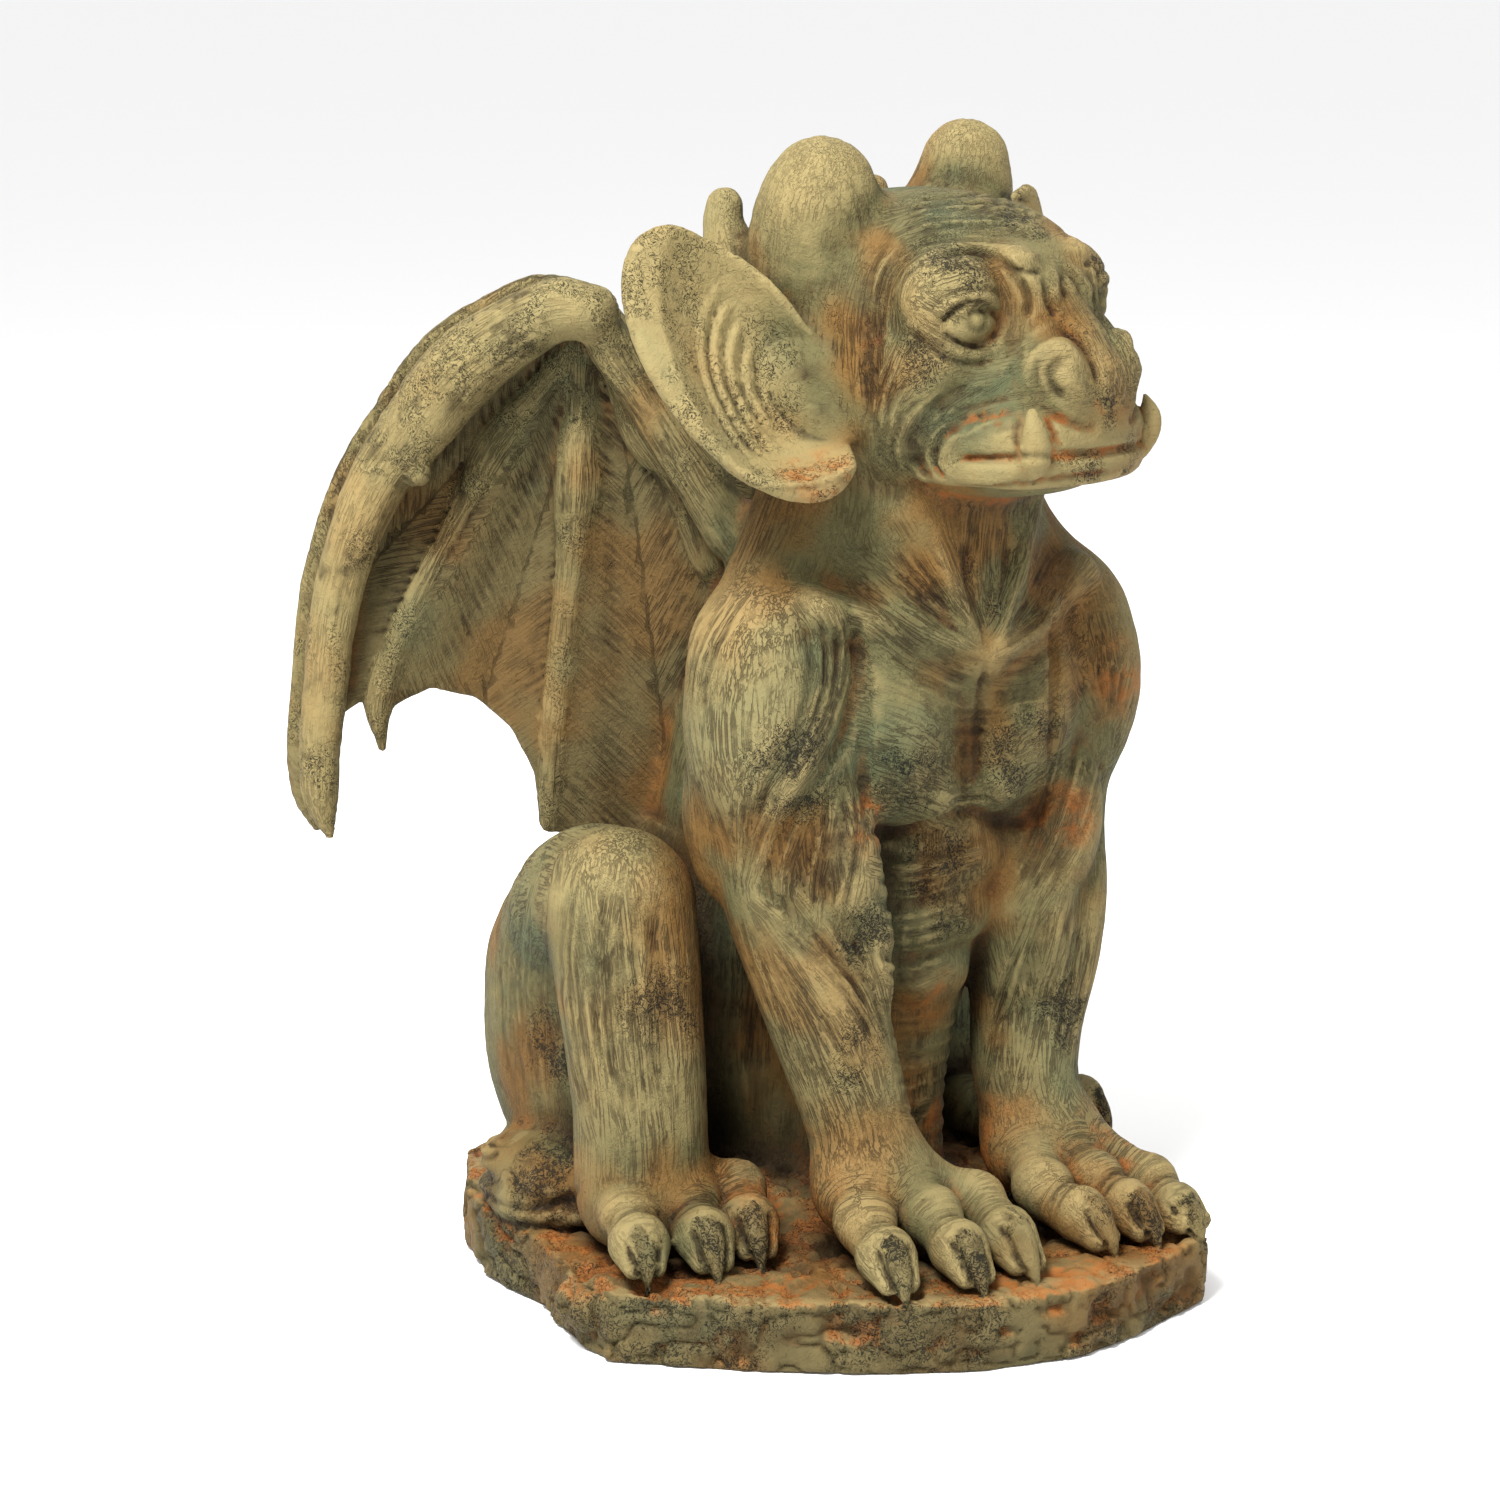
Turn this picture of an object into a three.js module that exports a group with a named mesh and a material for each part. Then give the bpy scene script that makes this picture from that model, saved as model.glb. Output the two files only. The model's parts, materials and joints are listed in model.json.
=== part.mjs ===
// Seated winged gargoyle, cast in one piece with its rocky base.
// Millimetres, +Z up. The figure faces -Y, and the origin is the base's bottom centre.
// The form is modelled like clay: a field holds the distance to the surface at each grid
// point, soft shapes are added and cut one after the other, and the surface of the field
// becomes a closed mesh, which is then thinned to few triangles.
import * as THREE from "three";
import { edgeTable, triTable } from "three/addons/objects/MarchingCubes.js";

// Grid of the field
const CELL = 3;
const LOW = [-219, -225, -4.5];
const COUNT = [147, 145, 198];
const FAR = 60;

// Mesh
const TRIANGLES = 9600;
const LEAST_DISTANCE = 0.05;

// Main sizes
const BASE_TOP = 34;
const HEAD_CENTRE = [0, -60, 460];
const HEAD_TURN = THREE.MathUtils.degToRad(14);
const WING_SWEEP = Math.SQRT1_2;
const SIDES = [-1, 1];
// Middle of the whole figure in plan, which becomes the origin
const MIDDLE = [0, -4.5];

// Vectors as plain arrays
const plus = (a, b) => a.map((v, i) => v + b[i]);
const minus = (a, b) => a.map((v, i) => v - b[i]);
const times = (a, s) => a.map((v) => v * s);
const dot = (a, b) => a[0] * b[0] + a[1] * b[1] + a[2] * b[2];
const cross = (a, b) => [
  a[1] * b[2] - a[2] * b[1],
  a[2] * b[0] - a[0] * b[2],
  a[0] * b[1] - a[1] * b[0],
];
const unit = (a) => times(a, 1 / Math.hypot(...a));
const clamp = THREE.MathUtils.clamp;
const lerp = THREE.MathUtils.lerp;
const smoothstep = THREE.MathUtils.smoothstep;

// Frames: at() takes local numbers to a place, and axes are the local directions.
function frame(origin, axes) {
  return {
    axes,
    at: (a, b, c) => plus(origin, plus(times(axes[0], a), plus(times(axes[1], b), times(axes[2], c)))),
    local: (x, y, z) => {
      const d = [x - origin[0], y - origin[1], z - origin[2]];
      return [dot(d, axes[0]), dot(d, axes[1]), dot(d, axes[2])];
    },
  };
}
const BODY = frame([0, 0, 0], [[1, 0, 0], [0, 1, 0], [0, 0, 1]]);
// The head's numbers are left, forward and up, from its centre.
const HEAD = frame(HEAD_CENTRE, [
  [Math.cos(HEAD_TURN), Math.sin(HEAD_TURN), 0],
  [Math.sin(HEAD_TURN), -Math.cos(HEAD_TURN), 0],
  [0, 0, 1],
]);

// Shapes have a box and a distance, negative inside.
function boxOf(points, reach) {
  const low = [0, 1, 2].map((i) => Math.min(...points.map((p) => p[i])) - reach);
  const high = [0, 1, 2].map((i) => Math.max(...points.map((p) => p[i])) + reach);
  return { low, high };
}

// An egg with its three half sizes along the axes.
function egg(centre, radii, axes = BODY.axes) {
  const half = [0, 1, 2].map((i) => Math.hypot(...radii.map((r, j) => r * axes[j][i])));
  const [cx, cy, cz] = centre;
  const [[ax, ay, az], [bx, by, bz], [ux, uy, uz]] = axes;
  const [p, q, r] = radii.map((v) => 1 / v);
  return {
    low: minus(centre, half),
    high: plus(centre, half),
    distance: (x, y, z) => {
      const dx = x - cx;
      const dy = y - cy;
      const dz = z - cz;
      const a = (dx * ax + dy * ay + dz * az) * p;
      const b = (dx * bx + dy * by + dz * bz) * q;
      const c = (dx * ux + dy * uy + dz * uz) * r;
      const size = Math.hypot(a, b, c);
      const slope = Math.hypot(a * p, b * q, c * r);
      return slope > 0 ? (size * (size - 1)) / slope : -Math.min(...radii);
    },
  };
}

// A long egg from one end to the other, with its width and its depth towards facing.
function muscle(start, end, width, depth = width, facing = [0, -1, 0]) {
  const along = unit(minus(end, start));
  const aside = unit(cross(facing, along));
  const out = cross(along, aside);
  const half = Math.hypot(...minus(end, start)) / 2;
  return egg(times(plus(start, end), 0.5), [width, depth, half], [aside, out, along]);
}

// A smooth run of points through a few chosen ones, each [x, y, z, radius].
function smoothRun(points, steps = 4) {
  const run = [];
  for (let i = 0; i + 1 < points.length; i++) {
    const [p0, p1, p2, p3] = [-1, 0, 1, 2].map((k) => points[clamp(i + k, 0, points.length - 1)]);
    for (let s = 0; s < steps; s++) {
      const t = s / steps;
      run.push(
        p1.map(
          (v, j) =>
            0.5 *
            (2 * v +
              (p2[j] - p0[j]) * t +
              (2 * p0[j] - 5 * v + 4 * p2[j] - p3[j]) * t * t +
              (3 * v - p0[j] - 3 * p2[j] + p3[j]) * t * t * t),
        ),
      );
    }
  }
  run.push(points[points.length - 1]);
  return run;
}

// A round limb through points [x, y, z, radius].
function tube(points, steps = 4) {
  const run = smoothRun(points, steps);
  const spans = run.slice(1).map((end, i) => {
    const start = run[i];
    const along = minus(end, start);
    const length2 = along[0] ** 2 + along[1] ** 2 + along[2] ** 2;
    return { start, along, inverse: length2 > 0 ? 1 / length2 : 0 };
  });
  return {
    ...boxOf(run, Math.max(...run.map((p) => p[3]))),
    distance: (x, y, z) => {
      let least = FAR;
      for (const { start, along, inverse } of spans) {
        const dx = x - start[0];
        const dy = y - start[1];
        const dz = z - start[2];
        const t = clamp((dx * along[0] + dy * along[1] + dz * along[2]) * inverse, 0, 1);
        const ex = dx - along[0] * t;
        const ey = dy - along[1] * t;
        const ez = dz - along[2] * t;
        const d = Math.sqrt(ex * ex + ey * ey + ez * ez) - start[3] - along[3] * t;
        if (d < least) least = d;
      }
      return least;
    },
  };
}

// Distance in the plane to an outline of corners, negative inside.
function outlineDistance(corners, x, y) {
  let least = Infinity;
  let inside = false;
  for (let i = 0, j = corners.length - 1; i < corners.length; j = i++) {
    const [xi, yi] = corners[i];
    const [xj, yj] = corners[j];
    const ex = xj - xi;
    const ey = yj - yi;
    const t = clamp(((x - xi) * ex + (y - yi) * ey) / (ex * ex + ey * ey), 0, 1);
    least = Math.min(least, Math.hypot(x - xi - ex * t, y - yi - ey * t));
    if (yi > y !== yj > y && x < ((xj - xi) * (y - yi)) / (yj - yi) + xi) inside = !inside;
  }
  return inside ? -least : least;
}

// A flat slab between two heights, leaning outwards by lean at its foot, with a rounded edge.
function slab(corners, bottom, top, lean, round) {
  const points = corners.map(([x, y]) => [x, y, (bottom + top) / 2]);
  const { low, high } = boxOf(points, lean + 2);
  return {
    low: [low[0], low[1], bottom],
    high: [high[0], high[1], top],
    distance: (x, y, z) => {
      const side = outlineDistance(corners, x, y) - (lean * (top - z)) / (top - bottom) + round;
      const rise = Math.max(z - top, bottom - z) + round;
      return Math.min(Math.max(side, rise), 0) + Math.hypot(Math.max(side, 0), Math.max(rise, 0)) - round;
    },
  };
}

// The clay
const field = new Float32Array(COUNT[0] * COUNT[1] * COUNT[2]).fill(FAR);

function visit(shape, reach, rule) {
  const margin = reach + 2 * CELL;
  const first = shape.low.map((v, i) => Math.max(0, Math.floor((v - margin - LOW[i]) / CELL)));
  const last = shape.high.map((v, i) => Math.min(COUNT[i] - 1, Math.ceil((v + margin - LOW[i]) / CELL)));
  for (let k = first[2]; k <= last[2]; k++)
    for (let j = first[1]; j <= last[1]; j++) {
      let n = (k * COUNT[1] + j) * COUNT[0] + first[0];
      for (let i = first[0]; i <= last[0]; i++, n++)
        field[n] = rule(field[n], shape.distance(LOW[0] + i * CELL, LOW[1] + j * CELL, LOW[2] + k * CELL));
    }
}

// Adds a shape, with a fillet of about blend where it meets the rest.
function add(blend, shape) {
  visit(shape, blend, (old, d) => {
    const h = Math.max(blend - Math.abs(old - d), 0);
    return Math.min(old, d) - (blend > 0 ? (h * h) / (4 * blend) : 0);
  });
}

// Cuts a shape out, with a rounded edge of about blend.
function cut(blend, shape) {
  visit(shape, blend, (old, d) => {
    const h = Math.max(blend - Math.abs(old + d), 0);
    return Math.max(old, -d) + (blend > 0 ? (h * h) / (4 * blend) : 0);
  });
}

// Base
const BASE_OUTLINE = [
  [-150, 104], [-168, 62], [-172, 8], [-190, -48], [-191, -72], [-150, -121], [-96, -168], [-62, -189], [-14, -202],
  [28, -197], [64, -187], [82, -182], [107, -149], [133, -106], [153, -60], [160, -20], [166, 50], [146, 124],
  [80, 180], [-50, 184], [-118, 150],
];

function buildBase() {
  add(0, slab(BASE_OUTLINE, 0, BASE_TOP, 0, 4));
  // Ground heaped up between the legs
  add(14, egg([0, 30, 28], [130, 120, 22]));
}

// Body
function buildTrunk() {
  // Seat and pelvis
  add(0, egg([0, 72, 118], [92, 66, 92]));
  // Back from the seat to the neck
  add(40, tube([[0, 62, 130, 66], [0, 34, 220, 64], [0, -2, 300, 64], [0, -24, 360, 54]]));
  // Body behind the belly, down to the base
  add(24, tube([[0, 10, 240, 62], [0, 14, 180, 56], [0, 22, 110, 52], [0, 26, 30, 54]]));
  // Belly, narrowing down to the base
  add(22, tube([[0, -42, 226, 54], [0, -46, 200, 47], [0, -46, 165, 38], [0, -42, 125, 32], [0, -38, 80, 30], [0, -34, 30, 34]]));
  // Ribs and shoulders
  add(24, egg([0, -30, 290], [80, 66, 62]));
  add(26, egg([0, -52, 318], [92, 42, 38]));
  // Neck, sloping to the shoulders
  for (const s of SIDES) add(20, tube([[s * 30, -44, 410, 24], [s * 60, -46, 366, 25], [s * 88, -54, 326, 27]]));
  add(30, tube([[0, -44, 330, 64], [0, -54, 390, 60], [2, -54, 440, 60]]));
}

function buildChest() {
  for (const s of SIDES) {
    add(7, egg([s * 38, -68, 288], [46, 45, 52]));
    add(12, egg([s * 36, -72, 266], [43, 39, 30]));
  }
  // Groove between the breasts, down to the belly
  cut(7, tube([[0, -122, 312, 4], [0, -121, 280, 4], [0, -118, 240, 5]]));
  // Two cords from the neck to the notch, and the collar bones
  for (const s of SIDES) {
    add(9, tube([[s * 4, -108, 314, 5], [s * 16, -107, 345, 7], [s * 34, -98, 385, 9]]));
    add(12, tube([[s * 6, -109, 314, 5], [s * 38, -103, 326, 6], [s * 82, -84, 342, 9]]));
  }
  // Rows of belly muscles
  for (const [z, y, x, r] of [[212, -82, 17, 19], [183, -78, 15, 18], [155, -72, 10, 15]])
    for (const s of SIDES) add(7, egg([s * x, y, z], [r, 14, 13]));
}

function buildArm(s) {
  add(14, tube([
    [s * 90, -60, 314, 34], [s * 92, -64, 284, 35], [s * 84, -61, 245, 32], [s * 77, -63, 200, 31],
    [s * 65, -73, 150, 29], [s * 54, -82, 102, 26], [s * 53, -90, 80, 25],
  ]));
  // Shoulder muscle
  add(16, egg([s * 94, -62, 288], [33, 38, 56]));
  // Front of the upper arm
  add(8, muscle([s * 84, -86, 300], [s * 76, -88, 216], 19, 17));
  // Back of the upper arm
  add(8, muscle([s * 98, -42, 290], [s * 92, -38, 196], 22, 24));
  // Forearm, outside and inside
  add(8, muscle([s * 92, -66, 236], [s * 66, -86, 118], 18, 25));
  add(8, muscle([s * 60, -78, 236], [s * 58, -86, 128], 16, 24));
}

// A toe bends over two knuckles and ends in a long claw, from its root to its tip.
function buildToe(root, knuckle, tip, size) {
  const second = [lerp(knuckle[0], tip[0], 0.42), lerp(knuckle[1], tip[1], 0.42), knuckle[2] - 5];
  const along = (t, z) => [lerp(second[0], tip[0], t), lerp(second[1], tip[1], t), z];
  add(7, tube([[...root, size * 1.05], [...knuckle, size], [...second, size * 0.88]]));
  add(4, egg(plus(knuckle, [0, 0, 1]), [size * 1.1, size * 1.1, size]));
  add(4, egg(second, [size * 0.98, size * 0.98, size * 0.9]));
  add(2, tube([
    [...along(0.25, second[2] - 1), size * 0.62], [...along(0.7, lerp(second[2], tip[2], 0.45)), size * 0.5],
    [...along(0.95, tip[2] + 2), 3], [...tip, 1.5],
  ]));
}

const HAND_TIPS = {
  "-1": [[-93, -167], [-58, -181], [-28, -183]],
  1: [[76, -184], [52, -180], [27, -177]],
};
const HAND_KNUCKLES = {
  "-1": [[-80, -122, 57], [-49, -133, 57], [-18, -128, 57]],
  1: [[80, -142, 50], [50, -136, 56], [20, -134, 57]],
};

function buildHand(s) {
  const wrist = [s * 53, -88];
  add(12, egg([s * 53, -100, 64], [33, 30, 26]));
  HAND_TIPS[s].forEach(([x, y], i) => {
    const [kx, ky, kz] = HAND_KNUCKLES[s][i];
    buildToe([lerp(wrist[0], kx, 0.45), lerp(wrist[1], ky, 0.45), 66], [kx, ky, kz], [x, y, BASE_TOP + 1], 13);
  });
}

// The left hind leg stands further back and closer in than the right one.
const LEG_BACK = { "-1": 0, 1: 42 };
const LEG_IN = { "-1": 0, 1: 16 };
const FOOT_TIPS = [[171, -76], [142, -91], [115, -89]];
const FOOT_KNUCKLES = [[158, -44], [127, -48], [97, -46]];

function buildLeg(s) {
  const back = LEG_BACK[s];
  const aside = (x) => s * (x - LEG_IN[s]);
  // Haunch
  add(16, egg([aside(104), 60, 116], [46, 64, 86]));
  // Thigh up to the knee
  add(14, tube([[aside(100), 64, 150, 48], [aside(120), 34 + back * 0.5, 184, 40], [aside(130), 8 + back, 192, 35]]));
  // Shin down to the foot
  add(5, tube([
    [aside(130), 0 + back, 194, 36], [aside(133), -12 + back, 150, 34],
    [aside(134), -20 + back, 105, 32], [aside(134), -22 + back, 66, 32],
  ]));
  add(10, egg([aside(132), -30 + back, 54], [36, 30, 24]));
  FOOT_TIPS.forEach(([x, y], i) => {
    const [kx, ky] = FOOT_KNUCKLES[i];
    const root = [aside(lerp(130, kx, 0.6)), lerp(-20, ky, 0.3) + back, 60];
    buildToe(root, [aside(kx), ky + back, 57], [aside(x), y + back, BASE_TOP + 1], 13);
  });
}

// Head, in the head's own numbers: left, forward, up
const headEgg = (centre, radii) => egg(HEAD.at(...centre), radii, HEAD.axes);
const headTube = (points, steps) => tube(points.map(([l, f, u, r]) => [...HEAD.at(l, f, u), r]), steps);

function buildSkull() {
  add(20, headEgg([0, -8, 5], [71, 76, 62]));
  add(20, headEgg([4, 28, 26], [58, 50, 36]));
  for (const s of SIDES) {
    // Cheek
    add(12, headEgg([s * 48, 26, -24], [25, 36, 36]));
    // Mound round the eye
    add(3, headEgg([s * 44, 48, 22], [25, 24, 23]));
  }
  // Middle of the brow, with two frown ridges
  add(10, headEgg([0, 60, 24], [26, 22, 20]));
  for (const s of SIDES) add(5, headTube([[s * 17, 70, 40, 5], [s * 12, 77, 28, 6], [s * 8, 82, 16, 5]]));
}

const MUZZLE = [[-57, 50], [-55, 76], [-47, 96], [-24, 107], [0, 110], [24, 107], [47, 96], [55, 76], [57, 50]];
// A run round the muzzle at one height, set back from its edge
const roundMuzzle = (u, back, r) => headTube(MUZZLE.map(([l, f]) => [l * (1 - back / 60), f - back, u, r]));

function buildMuzzle() {
  // Slope from the cheeks to the lip
  add(14, headEgg([0, 62, -18], [45, 40, 24]));
  // Upper lip
  add(10, headEgg([0, 54, -35], [50, 50, 15]));
  add(9, roundMuzzle(-38, 8, 9));
  add(12, headEgg([0, 70, -26], [44, 36, 18]));
  // Lower jaw, deeper in its middle
  add(4, headEgg([0, 50, -55], [50, 50, 8]));
  add(4, roundMuzzle(-54, 6, 6.5));
  add(10, headEgg([0, 46, -60], [42, 44, 11]));
  // Nose
  add(10, headTube([[0, 74, 20, 12], [0, 86, 6, 13], [0, 97, -12, 14]]));
  for (const s of SIDES) add(4, headEgg([s * 21, 87, -8], [15, 17, 16]));
}

function buildFace() {
  for (const s of SIDES) {
    // Eye in its socket, with lids
    cut(4, headEgg([s * 48, 68, 12], [15, 12, 9]));
    add(1, headEgg([s * 43, 53, 12], [13.5, 13.5, 12]));
    add(1, headEgg([s * 46, 65, 13], [5, 4, 5]));
    add(3, headTube([[s * 61, 47, 13, 2.5], [s * 56, 61, 21, 3], [s * 45, 70, 23, 3], [s * 33, 72, 9, 2.5]]));
    add(3, headTube([[s * 61, 47, 13, 2.5], [s * 55, 61, 4, 3], [s * 45, 69, 1, 3], [s * 33, 72, 7, 2.5]]));
    // Nostril
    cut(4, headEgg([s * 25, 104, -8], [8, 10, 11]));
    add(3, headEgg([s * 22, 95, -11], [6, 7, 9]));
  }
  // Mouth
  cut(2, roundMuzzle(-46.5, -3, 3));
  // Tusks
  for (const s of SIDES)
    add(2, headTube([[s * 43, 97, -50, 6], [s * 44, 101, -38, 6.5], [s * 43, 97, -23, 2]]));
}

// Big horns: left, forward, extra height and the radius at the foot
const HORNS = { "-1": [48, -21, 0, 33], 1: [54, -14, 7, 29] };

function buildHorns() {
  for (const s of SIDES) {
    const [l, f, rise, r] = HORNS[s];
    add(12, headTube([[s * (l - 4), f - 4, 42, r], [s * l, f, 60, r - 4], [s * (l + 1), f + 2, 68 + rise, r - 8]]));
    add(6, headTube([[s * 58, -64, 30, 14], [s * 60, -70, 50, 10], [s * 60, -70, 58, 9]]));
  }
}

// Ear: a bowl in a plane of its own, open forwards, outwards and up
const EAR = { half: [73, 42], centre: [37, -11], thickness: 9, depth: 28, cavity: [6, 6], ridges: 3, ridgeHeight: 2.6 };

// The left ear is tipped forwards.
const EAR_PLACE = { "-1": { foot: [-95, 9.5, -28], tip: 0 }, 1: { foot: [95, 14, -34], tip: THREE.MathUtils.degToRad(16) } };

function earFrame(s) {
  const { foot, tip } = EAR_PLACE[s];
  const out = unit([-0.45, 0.8, 0.39]);
  const along = [-0.287, -0.545, 0.787];
  const aside = cross(out, along);
  const world = ([l, f, u]) => {
    const forward = f * Math.cos(tip) + u * Math.sin(tip);
    const up = u * Math.cos(tip) - f * Math.sin(tip);
    return minus(HEAD.at(-s * l, forward, up), HEAD_CENTRE);
  };
  return frame(HEAD.at(...foot), [world(along), world(aside), world(out)]);
}

function earDepth(a, b) {
  const da = (a - EAR.cavity[0]) / (a > EAR.cavity[0] ? 100 : 38);
  const db = (b - EAR.cavity[1]) / (b > EAR.cavity[1] ? 28 : 54);
  const r = Math.min(1, Math.hypot(da, db));
  const band = smoothstep(r, 0.22, 0.32) * (1 - smoothstep(r, 0.8, 0.92)) * (1 - smoothstep(b, -4, 10)) * smoothstep(a, 4, 30);
  const ridge = EAR.ridgeHeight * band * Math.cos(((r - 0.25) / 0.6) * 2 * Math.PI * EAR.ridges);
  const bead = 7 * (1 - smoothstep(r, 0, 0.24));
  return -EAR.depth * (1 - r * r) - 2 + ridge + bead;
}

function ear(s) {
  const place = earFrame(s);
  const [ha, hb] = EAR.half;
  const [ca, cb] = EAR.centre;
  const corners = [];
  for (const a of SIDES)
    for (const b of SIDES) for (const c of [-40, 12]) corners.push(place.at(ca + a * ha, cb + b * hb, c));
  return {
    ...boxOf(corners, 2),
    distance: (x, y, z) => {
      const [a, b, c] = place.local(x, y, z);
      const u = (a - ca) / ha;
      const v = (b - cb) / hb;
      const r = Math.hypot(u, v);
      const rim = r > 0 ? (r * (r - 1)) / Math.hypot(u / ha, v / hb) : -hb;
      const depth = earDepth(a, b);
      const slope = Math.hypot(earDepth(a + 1, b) - depth, earDepth(a, b + 1) - depth);
      const sheet = Math.abs(c - depth) / Math.hypot(1, slope) - EAR.thickness / 2;
      const h = Math.max(6 - Math.abs(rim - sheet), 0);
      return Math.max(rim, sheet) + (h * h) / 24;
    },
  };
}

function buildEar(s) {
  add(6, ear(s));
}

// Wings, in numbers of their own: out along the sweep, up, and forward of the wing's plane
const wingPoint = (s, t, z, n) => [s * WING_SWEEP * (t + n), WING_SWEEP * (t - n), z];
const SPAR = [
  [115, 466, 15], [133, 466, 17], [161, 450, 19], [182, 432, 20], [201, 408, 18], [219, 383, 16],
  [233, 352, 14], [242, 320, 13], [247, 285, 12], [251, 250, 11.5], [251, 226, 10], [247, 207, 3],
];
// The spar's back edge lies further out than its front edge
const SPAR_BACK = 10;
const MEMBRANE = [
  [114, 474], [135, 472], [162, 453], [185, 430], [204, 406], [222, 380], [236, 350], [246, 318],
  [251, 284], [252, 262], [243, 264], [232, 272], [224, 262], [217, 269], [200, 277], [180, 271],
  [162, 256], [150, 234], [144, 206], [134, 204], [116, 200], [60, 160], [20, 200], [20, 360],
];
const WRIST = [112, 466];
const DIGITS = [
  [[126, 447, 8], [148, 420, 7], [168, 396, 10], [186, 361, 6], [204, 326, 6], [217, 296, 6], [224, 270, 6], [223, 248, 2]],
  [[124, 447, 9], [126, 411, 8], [127, 377, 11], [131, 337, 7], [135, 298, 7], [140, 253, 6], [143, 210, 4]],
  [[112, 446, 9], [103, 424, 8], [92, 406, 12], [76, 380, 9], [62, 343, 9]],
];

// How far the membrane stands forward of the wing's plane: it sags back between the digits,
// which spread from the wrist, and rises to meet the spar.
const DIGIT_ANGLES = [-2.6, -1.92, -1.47, -1.05, -0.62];
const SAG = 9;

function membraneForward(t, z) {
  const angle = Math.atan2(z - WRIST[1], t - WRIST[0]);
  const away = Math.hypot(z - WRIST[1], t - WRIST[0]);
  const next = DIGIT_ANGLES.findIndex((a) => a > angle);
  let sag = 0;
  if (next > 0) {
    const [from, to] = [DIGIT_ANGLES[next - 1], DIGIT_ANGLES[next]];
    sag = SAG * Math.min(1, away / 120) * (1 - Math.abs(((angle - from) / (to - from)) * 2 - 1));
  }
  return lerp(-8, 8, smoothstep(t, 150, 245)) - sag;
}

function membrane(s) {
  const corners = MEMBRANE.flatMap(([t, z]) => [wingPoint(s, t, z, -26), wingPoint(s, t, z, 26)]);
  return {
    ...boxOf(corners, 0),
    distance: (x, y, z) => {
      const t = WING_SWEEP * (s * x + y);
      const n = WING_SWEEP * (s * x - y);
      const rim = outlineDistance(MEMBRANE, t, z);
      const sheet = (Math.abs(n - membraneForward(t, z)) - 5) * 0.95;
      const h = Math.max(4 - Math.abs(rim - sheet), 0);
      return Math.max(rim, sheet) + (h * h) / 16;
    },
  };
}

function buildWing(s) {
  add(10, membrane(s));
  const lay = (path, ahead) => path.map(([t, z, r]) => [...wingPoint(s, t, z, membraneForward(t, z) + ahead), r]);
  for (const digit of DIGITS) add(5, tube(lay(digit, 3)));
  add(6, tube(SPAR.map(([t, z, r]) => [...wingPoint(s, t + SPAR_BACK, z, 4), r * 0.92])));
  add(5, tube(SPAR.map(([t, z, r]) => [...wingPoint(s, t, z, 22), r * 0.92])));
  add(8, tube([[...wingPoint(s, 106, 450, 14), 12], [...wingPoint(s, 84, 414, 12), 11], [...wingPoint(s, 48, 360, 12), 14]]));
}

// Toad's head under the right haunch
function buildToad() {
  add(8, egg([-137, 40, 57], [31, 44, 19]));
  add(4, egg([-139, 44, 42], [32, 46, 10]));
  add(8, tube([[-136, 42, 40, 32], [-134, 40, 10, 34]]));
  add(3, egg([-162, 60, 61], [8, 9, 8]));
}

function sculpt() {
  buildTrunk();
  buildChest();
  for (const s of SIDES) {
    buildLeg(s);
    buildArm(s);
    buildHand(s);
  }
  buildToad();
  buildBase();
  buildSkull();
  buildMuzzle();
  buildFace();
  buildHorns();
  for (const s of SIDES) {
    buildEar(s);
    buildWing(s);
  }
}

// Surface of the field as a closed mesh with shared vertices
const CORNERS = [[0, 0, 0], [1, 0, 0], [1, 1, 0], [0, 1, 0], [0, 0, 1], [1, 0, 1], [1, 1, 1], [0, 1, 1]];
const EDGES = [[0, 1], [1, 2], [3, 2], [0, 3], [4, 5], [5, 6], [7, 6], [4, 7], [0, 4], [1, 5], [2, 6], [3, 7]];
const CASE_SIZE = 16;

function surface() {
  const [nx, ny, nz] = COUNT;
  const stride = [1, nx, nx * ny];
  for (let k = 0; k < nz; k++)
    for (let j = 0; j < ny; j++)
      for (let i = 0; i < nx; i++) {
        const n = i + j * stride[1] + k * stride[2];
        const z = LOW[2] + k * CELL;
        const value = Math.max(field[n], -z);
        field[n] = Math.abs(value) < LEAST_DISTANCE ? Math.sign(value || 1) * LEAST_DISTANCE : value;
      }
  const points = [];
  const faces = [];
  const known = new Map();
  const corner = CORNERS.map(([a, b, c]) => a + b * stride[1] + c * stride[2]);
  const pointOn = (n, i, j, k, edge) => {
    const [from, to] = EDGES[edge];
    const axis = CORNERS[to].findIndex((v, m) => v !== CORNERS[from][m]);
    const key = (n + corner[from]) * 3 + axis;
    if (!known.has(key)) {
      const a = field[n + corner[from]];
      const b = field[n + corner[to]];
      const p = [i, j, k].map((v, m) => LOW[m] + CELL * (v + CORNERS[from][m]));
      p[axis] += (CELL * a) / (a - b);
      known.set(key, points.length);
      points.push(p);
    }
    return known.get(key);
  };
  for (let k = 0; k + 1 < nz; k++)
    for (let j = 0; j + 1 < ny; j++)
      for (let i = 0; i + 1 < nx; i++) {
        const n = i + j * stride[1] + k * stride[2];
        let mask = 0;
        for (let c = 0; c < 8; c++) if (field[n + corner[c]] < 0) mask |= 1 << c;
        if (!edgeTable[mask]) continue;
        for (let m = mask * CASE_SIZE; triTable[m] !== -1; m += 3)
          faces.push([0, 2, 1].map((q) => pointOn(n, i, j, k, triTable[m + q])));
      }
  return { points, faces };
}

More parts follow.
